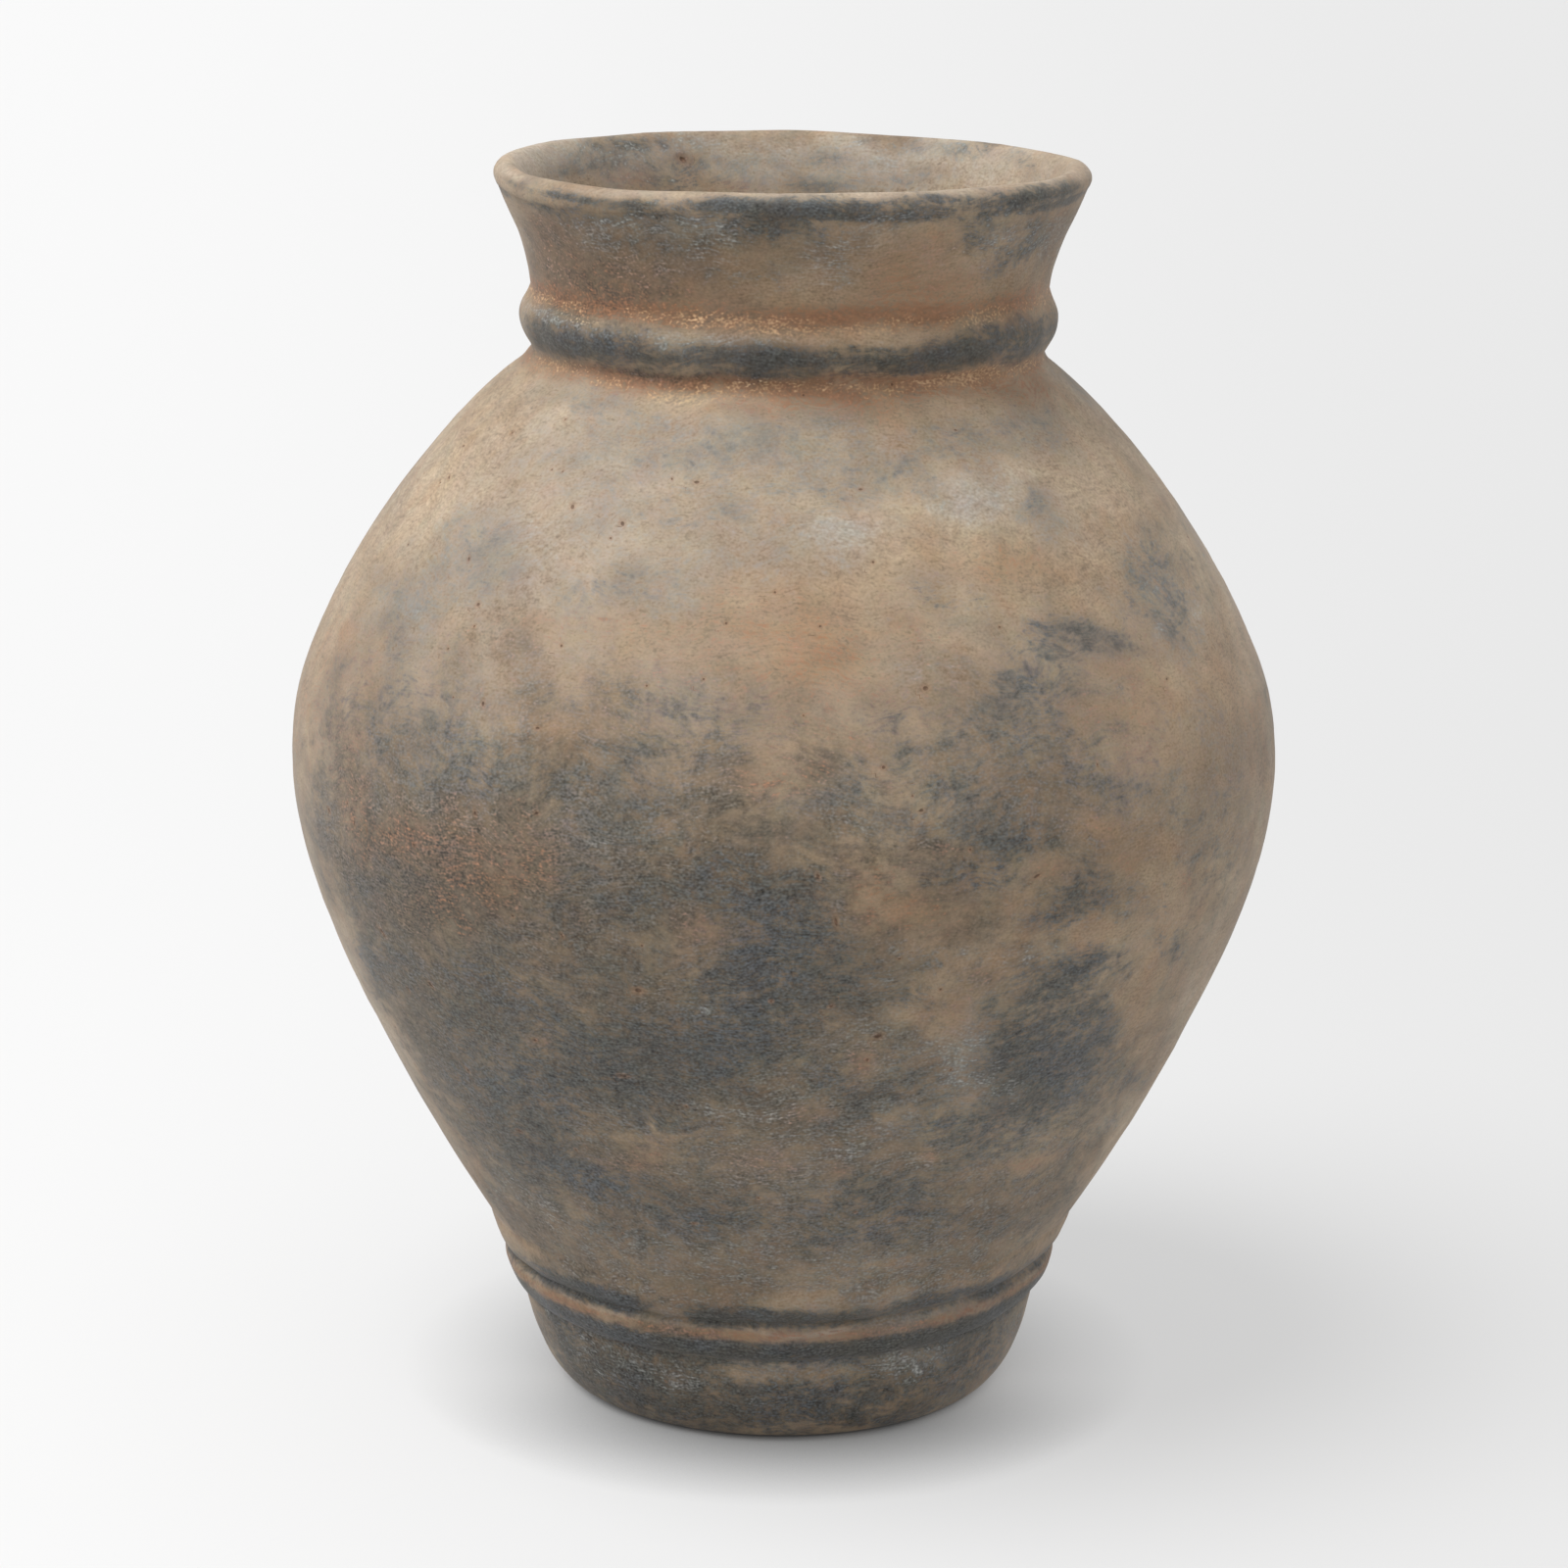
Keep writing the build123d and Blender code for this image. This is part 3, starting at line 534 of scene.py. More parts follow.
# A pale film: a thin whitish wash on the shoulder, with painted sheen in thin strips along the outlines and a painted
# highlight on the lip's crest.
VEIL_AND_PAINTED_LIGHT = [
    (865, 544, 34, 16, -5, 1.0), (1000, 505, 60, 24, -20, .8),
    (560, 500, 130, 80, -20, .5), (480, 600, 90, 80, -25, .3), (640, 560, 120, 50, 0, .3), (650, 480, 90, 36, 0, .4), (800, 520, 110, 30, 0, .15),
    (985, 510, 80, 28, 0, .45), (1090, 500, 60, 40, 20, .25), (860, 548, 70, 24, 0, .3), (420, 700, 60, 60, -10, .2),
    # the thin strips along the outlines, here and on the next line, are painted sheen
    (560, 440, 70, 26, -15, .3), (1050, 430, 34, 16, 10, .3), (1190, 620, 24, 30, 0, .2), (325, 780, 12, 90, 0, .3), (1280, 800, 10, 70, 0, .2),
    (410, 1080, 12, 60, -30, .3), (372, 1000, 12, 60, -28, .3), (540, 1230, 20, 20, 35, .4), (1135, 1140, 20, 14, -32, .3), (1215, 1000, 10, 70, 26, .25),
    (980, 1070, 26, 26, 0, .2), (700, 230, 60, 12, 0, .2), (860, 240, 50, 12, 0, .2),
    # the pale crest of the lip: rubbed paint and a painted highlight
    (640, 196, 80, 4, 3, .9), (800, 198, 100, 4, 0, .9), (960, 194, 90, 4, -4, .8), (1070, 182, 40, 5, -15, .5), (520, 176, 30, 6, 25, .7),
]
SCUFF = [
    (865, 543, 32, 14, -5, .9), (1000, 503, 52, 20, -20, .75), (985, 1075, 34, 34, -50, .7), (925, 1392, 28, 18, 0, .8),
    # collar and neck band
    (640, 230, 42, 11, 0, .5), (720, 228, 52, 11, 0, .55), (735, 248, 32, 8, 0, .42), (860, 250, 32, 12, 0, .42),
    (882, 230, 22, 10, 0, .38), (935, 225, 42, 10, 0, .28), (1022, 243, 20, 8, 0, .38), (680, 207, 26, 4, 0, .5),
    (553, 318, 12, 8, 20, .42), (680, 352, 14, 8, 0, .95), (672, 345, 16, 5, 0, .5), (735, 348, 22, 4, 0, .35),
    (790, 346, 20, 5, 0, .3), (840, 349, 32, 5, 0, .25), (900, 352, 22, 6, 0, .3), (695, 370, 3, 13, 0, .32),
    # shoulder and belly
    (864, 545, 40, 13, 0, .95), (850, 538, 18, 10, 0, .5), (985, 522, 40, 17, 0, .55), (1004, 512, 30, 10, 0, .5),
    (537, 533, 32, 12, 10, .46), (430, 622, 26, 26, 30, .5), (455, 575, 18, 20, 20, .34), (560, 565, 40, 16, 0, .25),
    (1183, 640, 9, 14, 0, .8), (1224, 628, 8, 14, 0, .75), (1175, 600, 14, 22, 0, .3), (640, 535, 12, 3, -20, .6),
    (775, 665, 50, 14, 0, .22), (930, 680, 60, 16, 0, .22), (1130, 700, 30, 10, 25, .25), (700, 430, 40, 16, 0, .25),
    (610, 862, 14, 8, 0, .55), (560, 1238, 18, 9, 38, .65), (545, 1224, 16, 12, 35, .42), (715, 1030, 16, 8, 0, .55),
    (780, 1135, 46, 8, 0, .55), (725, 1135, 32, 8, 0, .44), (610, 1130, 20, 4, 15, .4), (632, 1141, 20, 4, 12, .38),
    (510, 1215, 20, 18, 30, .38), (975, 1080, 20, 25, 0, .48), (1010, 1110, 14, 14, 0, .55), (1036, 1115, 12, 14, 0, .44),
    (900, 1125, 20, 6, 0, .4), (1040, 975, 20, 8, 0, .6), (1070, 970, 20, 8, 0, .44), (870, 1170, 22, 10, 0, .44),
    (930, 1185, 15, 8, 0, .44), (1140, 1140, 20, 11, -32, .4), (965, 1095, 15, 10, 0, .42), (1000, 1225, 26, 6, 0, .4),
    (900, 1000, 32, 8, 0, .32), (990, 970, 32, 10, 0, .28), (680, 1262, 60, 8, 4, .25), (620, 1405, 30, 8, 20, .3),
    (690, 1412, 30, 14, 10, .7), (640, 1388, 30, 12, 20, .5), (920, 1392, 34, 12, -10, .7), (965, 1380, 20, 12, -16, .5),
    (770, 1432, 24, 9, 0, .4), (600, 1372, 14, 18, 30, .4), (560, 1345, 10, 12, 35, .4),
    (605, 240, 40, 16, 0, .3), (850, 275, 16, 18, 0, .3), (560, 326, 26, 6, 18, .4),
]
RUST = [
    (800, 700, 220, 90, 0, .10), (1140, 720, 70, 100, 0, .10), (340, 740, 40, 130, 0, .14), (450, 700, 80, 80, 0, .04), (1275, 720, 26, 100, 0, .06), (480, 890, 110, 60, 0, .12),
    # the hollows above and below the neck band
    (590, 312, 36, 7, 14, .62), (650, 320, 42, 8, 6, .75), (720, 325, 46, 8, 2, .85), (790, 330, 42, 8, 0, .95),
    (850, 330, 42, 8, 0, .85), (920, 323, 46, 9, 0, 1.1), (975, 320, 36, 8, -4, .75), (1030, 312, 30, 8, -8, .62),
    (560, 370, 26, 5, 22, .62), (620, 385, 42, 7, 10, .65), (690, 391, 46, 7, 4, .95), (760, 394, 46, 7, 2, .85),
    (820, 391, 42, 7, 0, .95), (870, 389, 42, 7, 0, .85), (930, 391, 46, 8, -3, .95), (985, 385, 36, 8, -6, .85),
    (1030, 378, 30, 8, -10, .95), (1060, 366, 16, 7, -25, .85),
    (940, 272, 46, 34, 0, .22), (930, 300, 46, 20, 0, .32), (985, 285, 22, 16, 0, .22), (640, 275, 42, 20, 0, .12),
    (660, 296, 52, 14, 0, .14), (690, 310, 42, 8, 0, .3), (560, 245, 26, 30, 0, .16), (1040, 330, 20, 6, -10, .4),
    (870, 326, 90, 7, 0, .3), (950, 388, 80, 8, -4, .4), (1040, 392, 40, 12, 12, .4),
    (880, 420, 60, 14, 0, .22), (1040, 400, 40, 12, 15, .25), (780, 415, 60, 10, 0, .2), (580, 285, 40, 24, 0, .12),
]
OCHRE = [
    (832, 675, 50, 24, 0, .42), (1023, 577, 50, 18, 0, .36), (780, 640, 70, 20, 0, .25), (1135, 844, 26, 16, 0, .4),
    (740, 945, 36, 20, 0, .44), (590, 935, 14, 10, 0, .4), (550, 1062, 12, 8, 0, .55), (640, 1187, 42, 14, 0, .4),
    (790, 1190, 32, 15, 0, .22), (760, 1181, 26, 8, 0, .2), (480, 870, 60, 40, 0, .28), (410, 862, 42, 30, 0, .32),
    (640, 1100, 10, 3, 0, .45), (880, 1085, 14, 12, 0, .7), (895, 902, 42, 20, 0, .4), (930, 932, 42, 24, 0, .4),
    (1070, 890, 22, 10, 0, .44), (1150, 880, 14, 12, 0, .44), (945, 1180, 10, 6, 0, .6), (1050, 1186, 26, 7, -12, .5),
    (980, 1032, 22, 20, 0, .34), (1000, 1000, 22, 10, 0, .34), (820, 1140, 22, 8, 0, .34), (855, 1196, 14, 8, 0, .44),
    (1210, 900, 10, 14, 0, .38), (600, 640, 50, 20, 0, .2), (800, 800, 60, 16, 0, .3), (970, 870, 30, 10, 0, .3),
]
CREAM = [
    (690, 403, 26, 8, 0, .75), (985, 385, 20, 8, -8, .85), (1012, 378, 12, 8, 0, .75), (800, 338, 60, 4, 0, .5),
    (870, 336, 32, 4, 0, .55), (590, 326, 26, 4, 12, .4), (1050, 370, 12, 4, -30, .6), (860, 396, 30, 4, 0, .4),
    (620, 392, 26, 5, 8, .4), (740, 405, 40, 6, 0, .3),
]
LIGHT = [
    (545, 470, 110, 70, -15, .26), (490, 560, 60, 44, -15, .2), (1045, 520, 80, 60, 12, .34), (815, 610, 90, 60, 0, .26), (540, 388, 60, 14, 18, .35),
    (950, 276, 110, 44, 0, .5), (820, 290, 90, 24, 0, .3), (700, 300, 120, 20, 0, .15), (1050, 270, 40, 50, 0, .3), (580, 280, 60, 36, 0, -.5), (650, 490, 240, 100, 0, .12), (960, 500, 220, 100, 0, .12),
    (980, 388, 80, 10, -5, .6), (860, 342, 90, 8, 0, .4), (560, 760, 160, 60, 0, -.15), (715, 387, 90, 8, 2, -.7), (1010, 386, 60, 9, -10, .5), (860, 326, 140, 8, 0, .3), (640, 320, 60, 6, 6, .25), (920, 610, 60, 40, 0, .1),
]
# Painted light inside the mouth, where the sun doesn't reach: lighter clay and a pale film.
INSIDE_PAINTED_LIGHT = [(552, 158, 44, 20, 0, 1.0), (930, 165, 110, 26, 0, .75), (1010, 160, 60, 26, 0, .45), (760, 168, 80, 26, 0, .35), (640, 168, 80, 22, 0, .5)]
INSIDE_PAINTED_LIGHT_VEIL = [(960, 164, 120, 24, 0, 2.1), (760, 162, 100, 22, 0, .9), (556, 158, 50, 18, 0, 2.8), (640, 170, 60, 16, 0, .9)]
INSIDE_SCUFF = [(940, 163, 120, 26, 0, .8), (760, 165, 90, 22, 0, .7), (620, 165, 60, 20, 0, .7), (552, 158, 40, 18, 0, .7)]
INSIDE_HAZE = [(640, 165, 80, 22, 0, .3), (760, 165, 90, 22, 0, .25), (900, 165, 110, 22, 0, .2), (830, 188, 60, 10, 0, .5), (700, 150, 60, 8, 0, .3)]
INSIDE_WASH = [(900, 182, 60, 8, 0, .25), (760, 172, 60, 12, 0, .2), (980, 150, 60, 8, 0, .2), (700, 186, 60, 8, 0, .3),
               (640, 150, 36, 7, 0, .8), (612, 165, 30, 10, 0, .4), (580, 175, 26, 8, 0, .25), (830, 190, 26, 8, 0, .55),
               (850, 165, 26, 10, 0, .38), (680, 172, 26, 8, 0, .34), (980, 158, 30, 8, 0, .4), (930, 150, 26, 6, 0, .3), (1040, 165, 20, 10, 0, .3)]
INSIDE_RUST = [(640, 180, 26, 8, 0, .5), (755, 188, 20, 6, 0, .55), (700, 165, 20, 6, 0, .32)]

# Pits and chips: across, down, radius in millimetres, how drawn out, turn in degrees.
PITS = [
    (522, 441, .8, 1, 0), (473, 455, .7, 1, 0), (449, 493, .8, 2.2, 30), (458, 487, .7, 2, 30), (584, 517, 1.1, 1.4, 60),
    (635, 534, 1.0, 1.6, 60), (711, 492, 1.0, 1.5, 0), (417, 556, .7, 1, 0), (479, 571, .8, 1.8, 60), (488, 617, 1.1, 1, 0),
    (484, 639, .7, 1, 0), (457, 662, .7, 1, 0), (573, 659, .8, 1, 0), (492, 718, .9, 1.6, 70), (548, 743, .8, 1.5, 0),
    (741, 636, .7, 1, 0), (791, 604, .7, 1, 0), (718, 693, .7, 1, 0), (623, 549, .6, 1.3, 50), (878, 500, .7, 1.6, 0),
    (891, 574, .7, 1, 0), (563, 479, .6, 1, 0), (574, 481, .6, 1, 0), (577, 428, .7, 1, 0), (433, 483, .6, 1, 0),
    (945, 702, 1.3, 1.2, 0), (902, 783, 1.0, 1, 0), (1058, 894, .8, 2.6, -20), (853, 941, .9, 2.6, 80), (990, 867, .8, 1, 0),
    (1191, 693, .7, 1, 0), (1212, 548, .7, 1.4, 60), (837, 639, .6, 1, 0), (940, 827, .9, 1.4, 0), (336, 827, .9, 1.8, 30),
    (354, 820, .8, 1, 0), (361, 840, .8, 1.8, 80), (374, 847, .8, 1.6, 80), (423, 862, .7, 1.4, 70), (485, 830, .8, 1.8, 70),
    (547, 830, .8, 1.4, 0), (390, 952, 1.0, 2.4, 50), (416, 1010, .8, 1.4, 60), (439, 1005, 1.0, 1.8, 50), (651, 1011, 1.3, 1.5, 0),
    (523, 935, .7, 1, 0), (573, 955, .7, 1.5, 60), (425, 1088, .9, 1.4, 40), (477, 1092, .9, 1.4, 60), (546, 1062, .9, 1.3, 0),
    (530, 1154, .9, 1.6, 0), (594, 1170, 1.2, 1.5, 0), (486, 1203, 1.0, 1.8, 60), (635, 1099, .9, 2.2, 0), (787, 1021, .8, 1, 0),
    (404, 1048, .6, 1, 0), (655, 965, .6, 1, 0), (436, 1120, .6, 1, 0), (896, 1058, 1.4, 1.6, -20), (885, 1082, .9, 1, 0),
    (848, 1033, .7, 1, 0), (1114, 1200, .9, 1.8, 80), (873, 1237, .7, 1, 0), (1096, 1228, .8, 1.6, 40), (660, 700, .6, 1, 0),
    (820, 730, .6, 1, 0), (1020, 640, .6, 1, 0), (700, 1130, .6, 1, 0), (960, 1010, .7, 1, 0), (1120, 780, .6, 1, 0),
]
MOUTH_PITS = [(697, 163, 1.7, 1.5, 40)]

# ------------------------------------------------------------------ laying the paint
wash_and_shade, haze, umber_and_shade, scuff, rust, cream, gap, veil_and_painted_light, light = (Coat() for _ in range(9))
umber_and_shade.seen([d for d in UMBER_AND_SHADE if d[1] < 700], 1.1)
# the lower half: brown stain, and partly painted shade where the wall faces down
umber_and_shade.seen([d for d in UMBER_AND_SHADE if d[1] >= 700], 1.35)
wash_and_shade.seen(COLLAR_WASH_AND_SHADE, 0.9)
haze.seen(COLLAR_WASH_AND_SHADE, 0.3)
wash_and_shade.seen(SHOULDER_WASH, 0.22, 1.15)        # high on the body the wash is a thin bluish film
haze.seen(SHOULDER_WASH, 1.5, 1.25)
upper, lower = ([d for d in BODY_WASH if (d[1] < 860) == top] for top in (True, False))
wash_and_shade.seen(upper, 0.42, 1.15)
haze.seen(upper, 0.95, 1.25)
haze.seen([(590, 790, 130, 50, 0, -.3), (680, 692, 40, 28, 0, .35), (590, 655, 34, 22, 0, .35), (940, 680, 60, 30, 0, .22), (790, 465, 90, 50, 0, .4), (500, 720, 50, 40, 0, .3), (690, 705, 44, 34, 0, .3),
           (700, 1280, 150, 30, 3, .3), (930, 1280, 120, 30, -6, .3), (800, 1200, 120, 40, 0, .25),
           (970, 1360, 95, 42, -8, 1.0), (800, 1384, 100, 30, 0, .6), (1010, 1110, 120, 80, 0, .5), (840, 1150, 90, 50, 0, .2), (480, 720, 44, 44, 0, .25)])
wash_and_shade.seen(lower, 0.8, 1.08)
haze.seen(lower, 0.4, 1.2)
wash_and_shade.seen(FOOT_WASH, 1.15)
gap.seen(GAP)
veil_and_painted_light.seen(VEIL_AND_PAINTED_LIGHT)
light.seen(LIGHT)
# painted light inside the mouth, here and two lines on
light.seen(INSIDE_PAINTED_LIGHT, inside=True)
haze.seen(INSIDE_HAZE, inside=True)
veil_and_painted_light.seen(INSIDE_PAINTED_LIGHT_VEIL, inside=True)
scuff.seen(INSIDE_SCUFF, inside=True)
wash_and_shade.ring(60.2, 4.3, 2.2, 61)               # dark wash and painted shade in the groove between the foot bands, and under the lower one, where the bands turn under
wash_and_shade.ring(44.5, 5.0, 3.2, 62, 0.25)
wash_and_shade.ring(495.8, 1.7, 0.9, 60, 0.6)         # the shade under the lip
wash_and_shade.ring(441.2, 6.4, 1.0, 63)              # the neck band
gap.ring(52.4, 3.0, 0.8, 64)                # bare clay on the bands' crests
gap.ring(71.0, 5.0, 0.25, 65)
rust.ring(51.8, 2.4, 0.5, 66)
rust.ring(457.5, 3.4, 0.55, 67, 0.6)        # rust in the hollows beside the neck band
rust.ring(430.0, 3.6, 0.75, 68, 0.5)
cream.ring(455.2, 2.6, 0.4, 72, 0.6)
cream.ring(430.6, 2.6, 0.3, 73, 0.8)
scuff.ring(449.6, 2.2, 0.35, 74, 0.9)
scuff.ring(480.0, 15.0, 0.2, 76, 0.7)
umber_and_shade.ring(52.0, 4.5, 0.5, 75, 0.8)
veil_and_painted_light.ring(54.9, 0.9, 0.8, 70, 0.6)          # painted highlights on the upper edges of the lower band and of the foot
veil_and_painted_light.ring(38.6, 1.1, 1.4, 69)
scuff.seen(SCUFF)
rust.seen(RUST)
rust.seen(OCHRE, 0.35)
gap.seen(OCHRE, 0.6)
cream.seen(CREAM)
wash_and_shade.seen(INSIDE_WASH, inside=True)
rust.seen(INSIDE_RUST, inside=True)
wash_and_shade.unseen(46, (80, 250), (12, 42), (.35, .9), (.3, .75), 1)
wash_and_shade.unseen(34, (230, 420), (10, 34), (.35, .9), (.05, .2), 2)
haze.unseen(34, (230, 420), (12, 40), (.35, .9), (.3, .8), 2)
haze.unseen(30, (90, 250), (12, 40), (.35, .9), (.2, .5), 1)
wash_and_shade.unseen(26, (60, 170), (14, 40), (.3, .7), (.35, .75), 3)
wash_and_shade.unseen(18, (2, 38), (10, 24), (.4, .8), (.3, .65), 4)
wash_and_shade.unseen(14, (466, 500), (8, 26), (.25, .5), (.3, .8), 5)
wash_and_shade.unseen(22, (436, 450), (10, 26), (.25, .4), (.4, .9), 6)
scuff.unseen(34, (80, 420), (4, 16), (.2, .6), (.3, .8), 9)
scuff.unseen(16, (440, 500), (5, 18), (.2, .4), (.3, .7), 10)
rust.unseen(40, (80, 420), (6, 22), (.3, .8), (.2, .5), 15)
cream.unseen(12, (420, 462), (5, 12), (.2, .5), (.15, .4), 20)
umber_and_shade.unseen(16, (190, 300), (30, 60), (.4, .7), (.3, .7), 26)
umber_and_shade.unseen(8, (462, 498), (30, 60), (.3, .4), (.3, .6), 27)
for g in ("foot", "wall"):                  # the lower half is darkened on the far side too: brown stain, and partly painted shade where the wall faces down
    far, high = smooth(SIN + 0.14 * waves(IDEAL[g], 30, 110, 14, 77), -0.19, 0.36), IDEAL[g][..., 2]
    umber_and_shade.on[g] += far * smooth(high, 262, 190) * np.maximum(1.3 + 0.45 * waves(IDEAL[g], 50, 140, 14, 71), 0.2) * smooth(high, 1, 8)
gap.unseen(60, (80, 240), (6, 18), (.3, .7), (.3, .6), 28)
gap.unseen(40, (240, 420), (10, 30), (.3, .6), (.3, .6), 29)
veil_and_painted_light.unseen(14, (330, 420), (25, 50), (.4, .7), (.3, .5), 30)

# ------------------------------------------------------------------ pits
pit_at = [(*place(u, v), r, long, turned) for u, v, r, long, turned in PITS]
pit_at += [(*place(u, v, True), r, long, turned) for u, v, r, long, turned in MOUTH_PITS]
for _ in range(150):
    z = RNG.uniform(10, 498)
    th = math.radians(RNG.uniform(0, 180)) if RNG.uniform() < 0.75 else RNG.uniform(0, 2 * math.pi)
    pit_at.append((th, float(np.interp(z, OUT_R[:, 1], OUT_S)), 0.45 + 0.55 * RNG.uniform() ** 2, 1 + 1.4 * RNG.uniform() ** 2, RNG.uniform(0, 180)))
PITVEC = {g: np.full((len(rows), N, 2), 9.0) for g, rows in GROUPS.items()}
DENT = {g: np.zeros((len(rows), N)) for g, rows in GROUPS.items()}
for th, s, r, long, turned in pit_at:
    r0 = float(section_at(s)[0])
    c, n = math.cos(math.radians(turned)), -math.sin(math.radians(turned))
    for g, along in ALONG.items():
        i0, i1 = np.searchsorted(along, [s - 5, s + 5])
        diff = (ANGLE - th + math.pi) % (2 * math.pi) - math.pi
        cols = np.nonzero(np.abs(diff) * r0 < 5)[0]
        if i0 == i1 or not len(cols):
            continue
        box = np.ix_(np.arange(i0, i1), cols)
        a, b = np.broadcast_arrays(diff[cols][None, :] * r0, (along[i0:i1] - s)[:, None])
        q = np.stack([(c * a + n * b) / (0.62 * r * long), (-n * a + c * b) / (0.62 * r)], -1)
        PITVEC[g][box] = np.where((np.hypot(a, b) < 5)[..., None], q, PITVEC[g][box])
        DENT[g][box] += 0.45 * r * np.exp(-(q**2).sum(-1) * 0.3)

def thick(coat, least=2.5e-3):
    """How thickly a coat was laid, as the log odds that it hides the ground."""
    bare = 0.25 ** coat
    return np.log(np.maximum(1 - bare, least) / bare)


# ------------------------------------------------------------------ surfaces with their small unevenness
SURF, NORM, PAINT = {}, {}, {}
for g, rows in GROUPS.items():
    p = IDEAL[g]
    z = p[..., 2]
    base = relaxed(p)
    n0 = normals(base)
    patch = 0.55 + 0.45 * np.tanh(1.4 * waves(p, 35, 90, 12, 31))
    rise = waves(p, 45, 130, 18, 21) * 0.26 + waves(p, 9, 24, 26, 22) * 0.055 * patch + waves(p * np.array([1, 1, 2.2]), 4, 8, 26, 23) * 0.016 * patch
    band = np.exp(-((z - 444) / 9) ** 2) + np.exp(-((z - 49) / 8) ** 2) + np.exp(-((z - 66) / 8) ** 2)
    rise = rise + band * (waves(p * np.array([1, 1, 0.3]), 14, 40, 16, 24) * 0.16)
    if g == "lip":
        inner = np.arange(len(rows)) > o_in - 4
        ridge = np.sin(ALONG[g] * (2 * math.pi / 15.5))[:, None] + 0.6 * waves(p * np.array([0.35, 0.35, 1]), 12, 30, 14, 25)
        rise = rise + inner[:, None] * ridge * 0.16 * smooth(505 - z, 8, 40)
    rise = (rise - DENT[g]) * (smooth(z, 0.2, 5.0) if g == "foot" else 1.0)
    SURF[g] = base + n0 * rise[..., None]
    tone = 0.5 + 0.17 * waves(p, 40, 110, 14, 41) + 0.10 * waves(p, 12, 34, 18, 42)
    if g == "wall":
        # browner on the neck; darker towards the bottom, below about 120 mm, partly painted shade where the lower wall
        # faces down
        tone = tone - 0.42 * smooth(z, 450, 462) * smooth(z, 500, 484) - 0.25 * smooth(z, 120, 80)
    tone = tone + light.on[g]
    def film(coat):
        return thick(np.maximum(coat.on[g] - 0.62 * gap.on[g], 0.22 * coat.on[g]))
    PAINT[g] = {"wash_and_shade": film(wash_and_shade), "umber_and_shade": film(umber_and_shade), "haze": thick(haze.on[g]), "gap": thick(gap.on[g]), "veil_and_painted_light": thick(veil_and_painted_light.on[g]), "rust": thick(rust.on[g]),
                "scuff": thick(0.6 * scuff.on[g] ** 1.6, 1e-5), "cream": thick(0.5 * cream.on[g] ** 1.5, 1e-5), "tone": tone, "pit": PITVEC[g]}

for g, h in (("foot", "lowc"), ("lowc", "wall"), ("wall", "lip"), ("lip", "floor")):
    SURF[g][-1] = SURF[h][0] = (SURF[g][-1] + SURF[h][0]) / 2
NORM = {g: normals(p) for g, p in SURF.items()}
meet = NORM["lowc"][-1] + NORM["wall"][0]
for n, share in enumerate((1.0, 0.5, 0.2)):              # the groove between the foot bands is smoothed over by hand
    for rows, i in ((NORM["lowc"], -1 - n), (NORM["wall"], n)):
        rows[i] = rows[i] * (1 - share) + meet / np.linalg.norm(meet, axis=1, keepdims=True) * share
        rows[i] /= np.linalg.norm(rows[i], axis=1, keepdims=True)

# ------------------------------------------------------------------ the pieces
COATS = ("wash_and_shade", "scuff", "rust", "cream", "tone", "gap", "veil_and_painted_light", "umber_and_shade", "haze")
INNER = {"tone": 0.5, "wash_and_shade": -6.0, "haze": -6.0, "umber_and_shade": -6.0, "rust": -6.0, "gap": -6.0, "veil_and_painted_light": -6.0, "scuff": -11.0, "cream": -11.0}       # inside the joints: bare clay


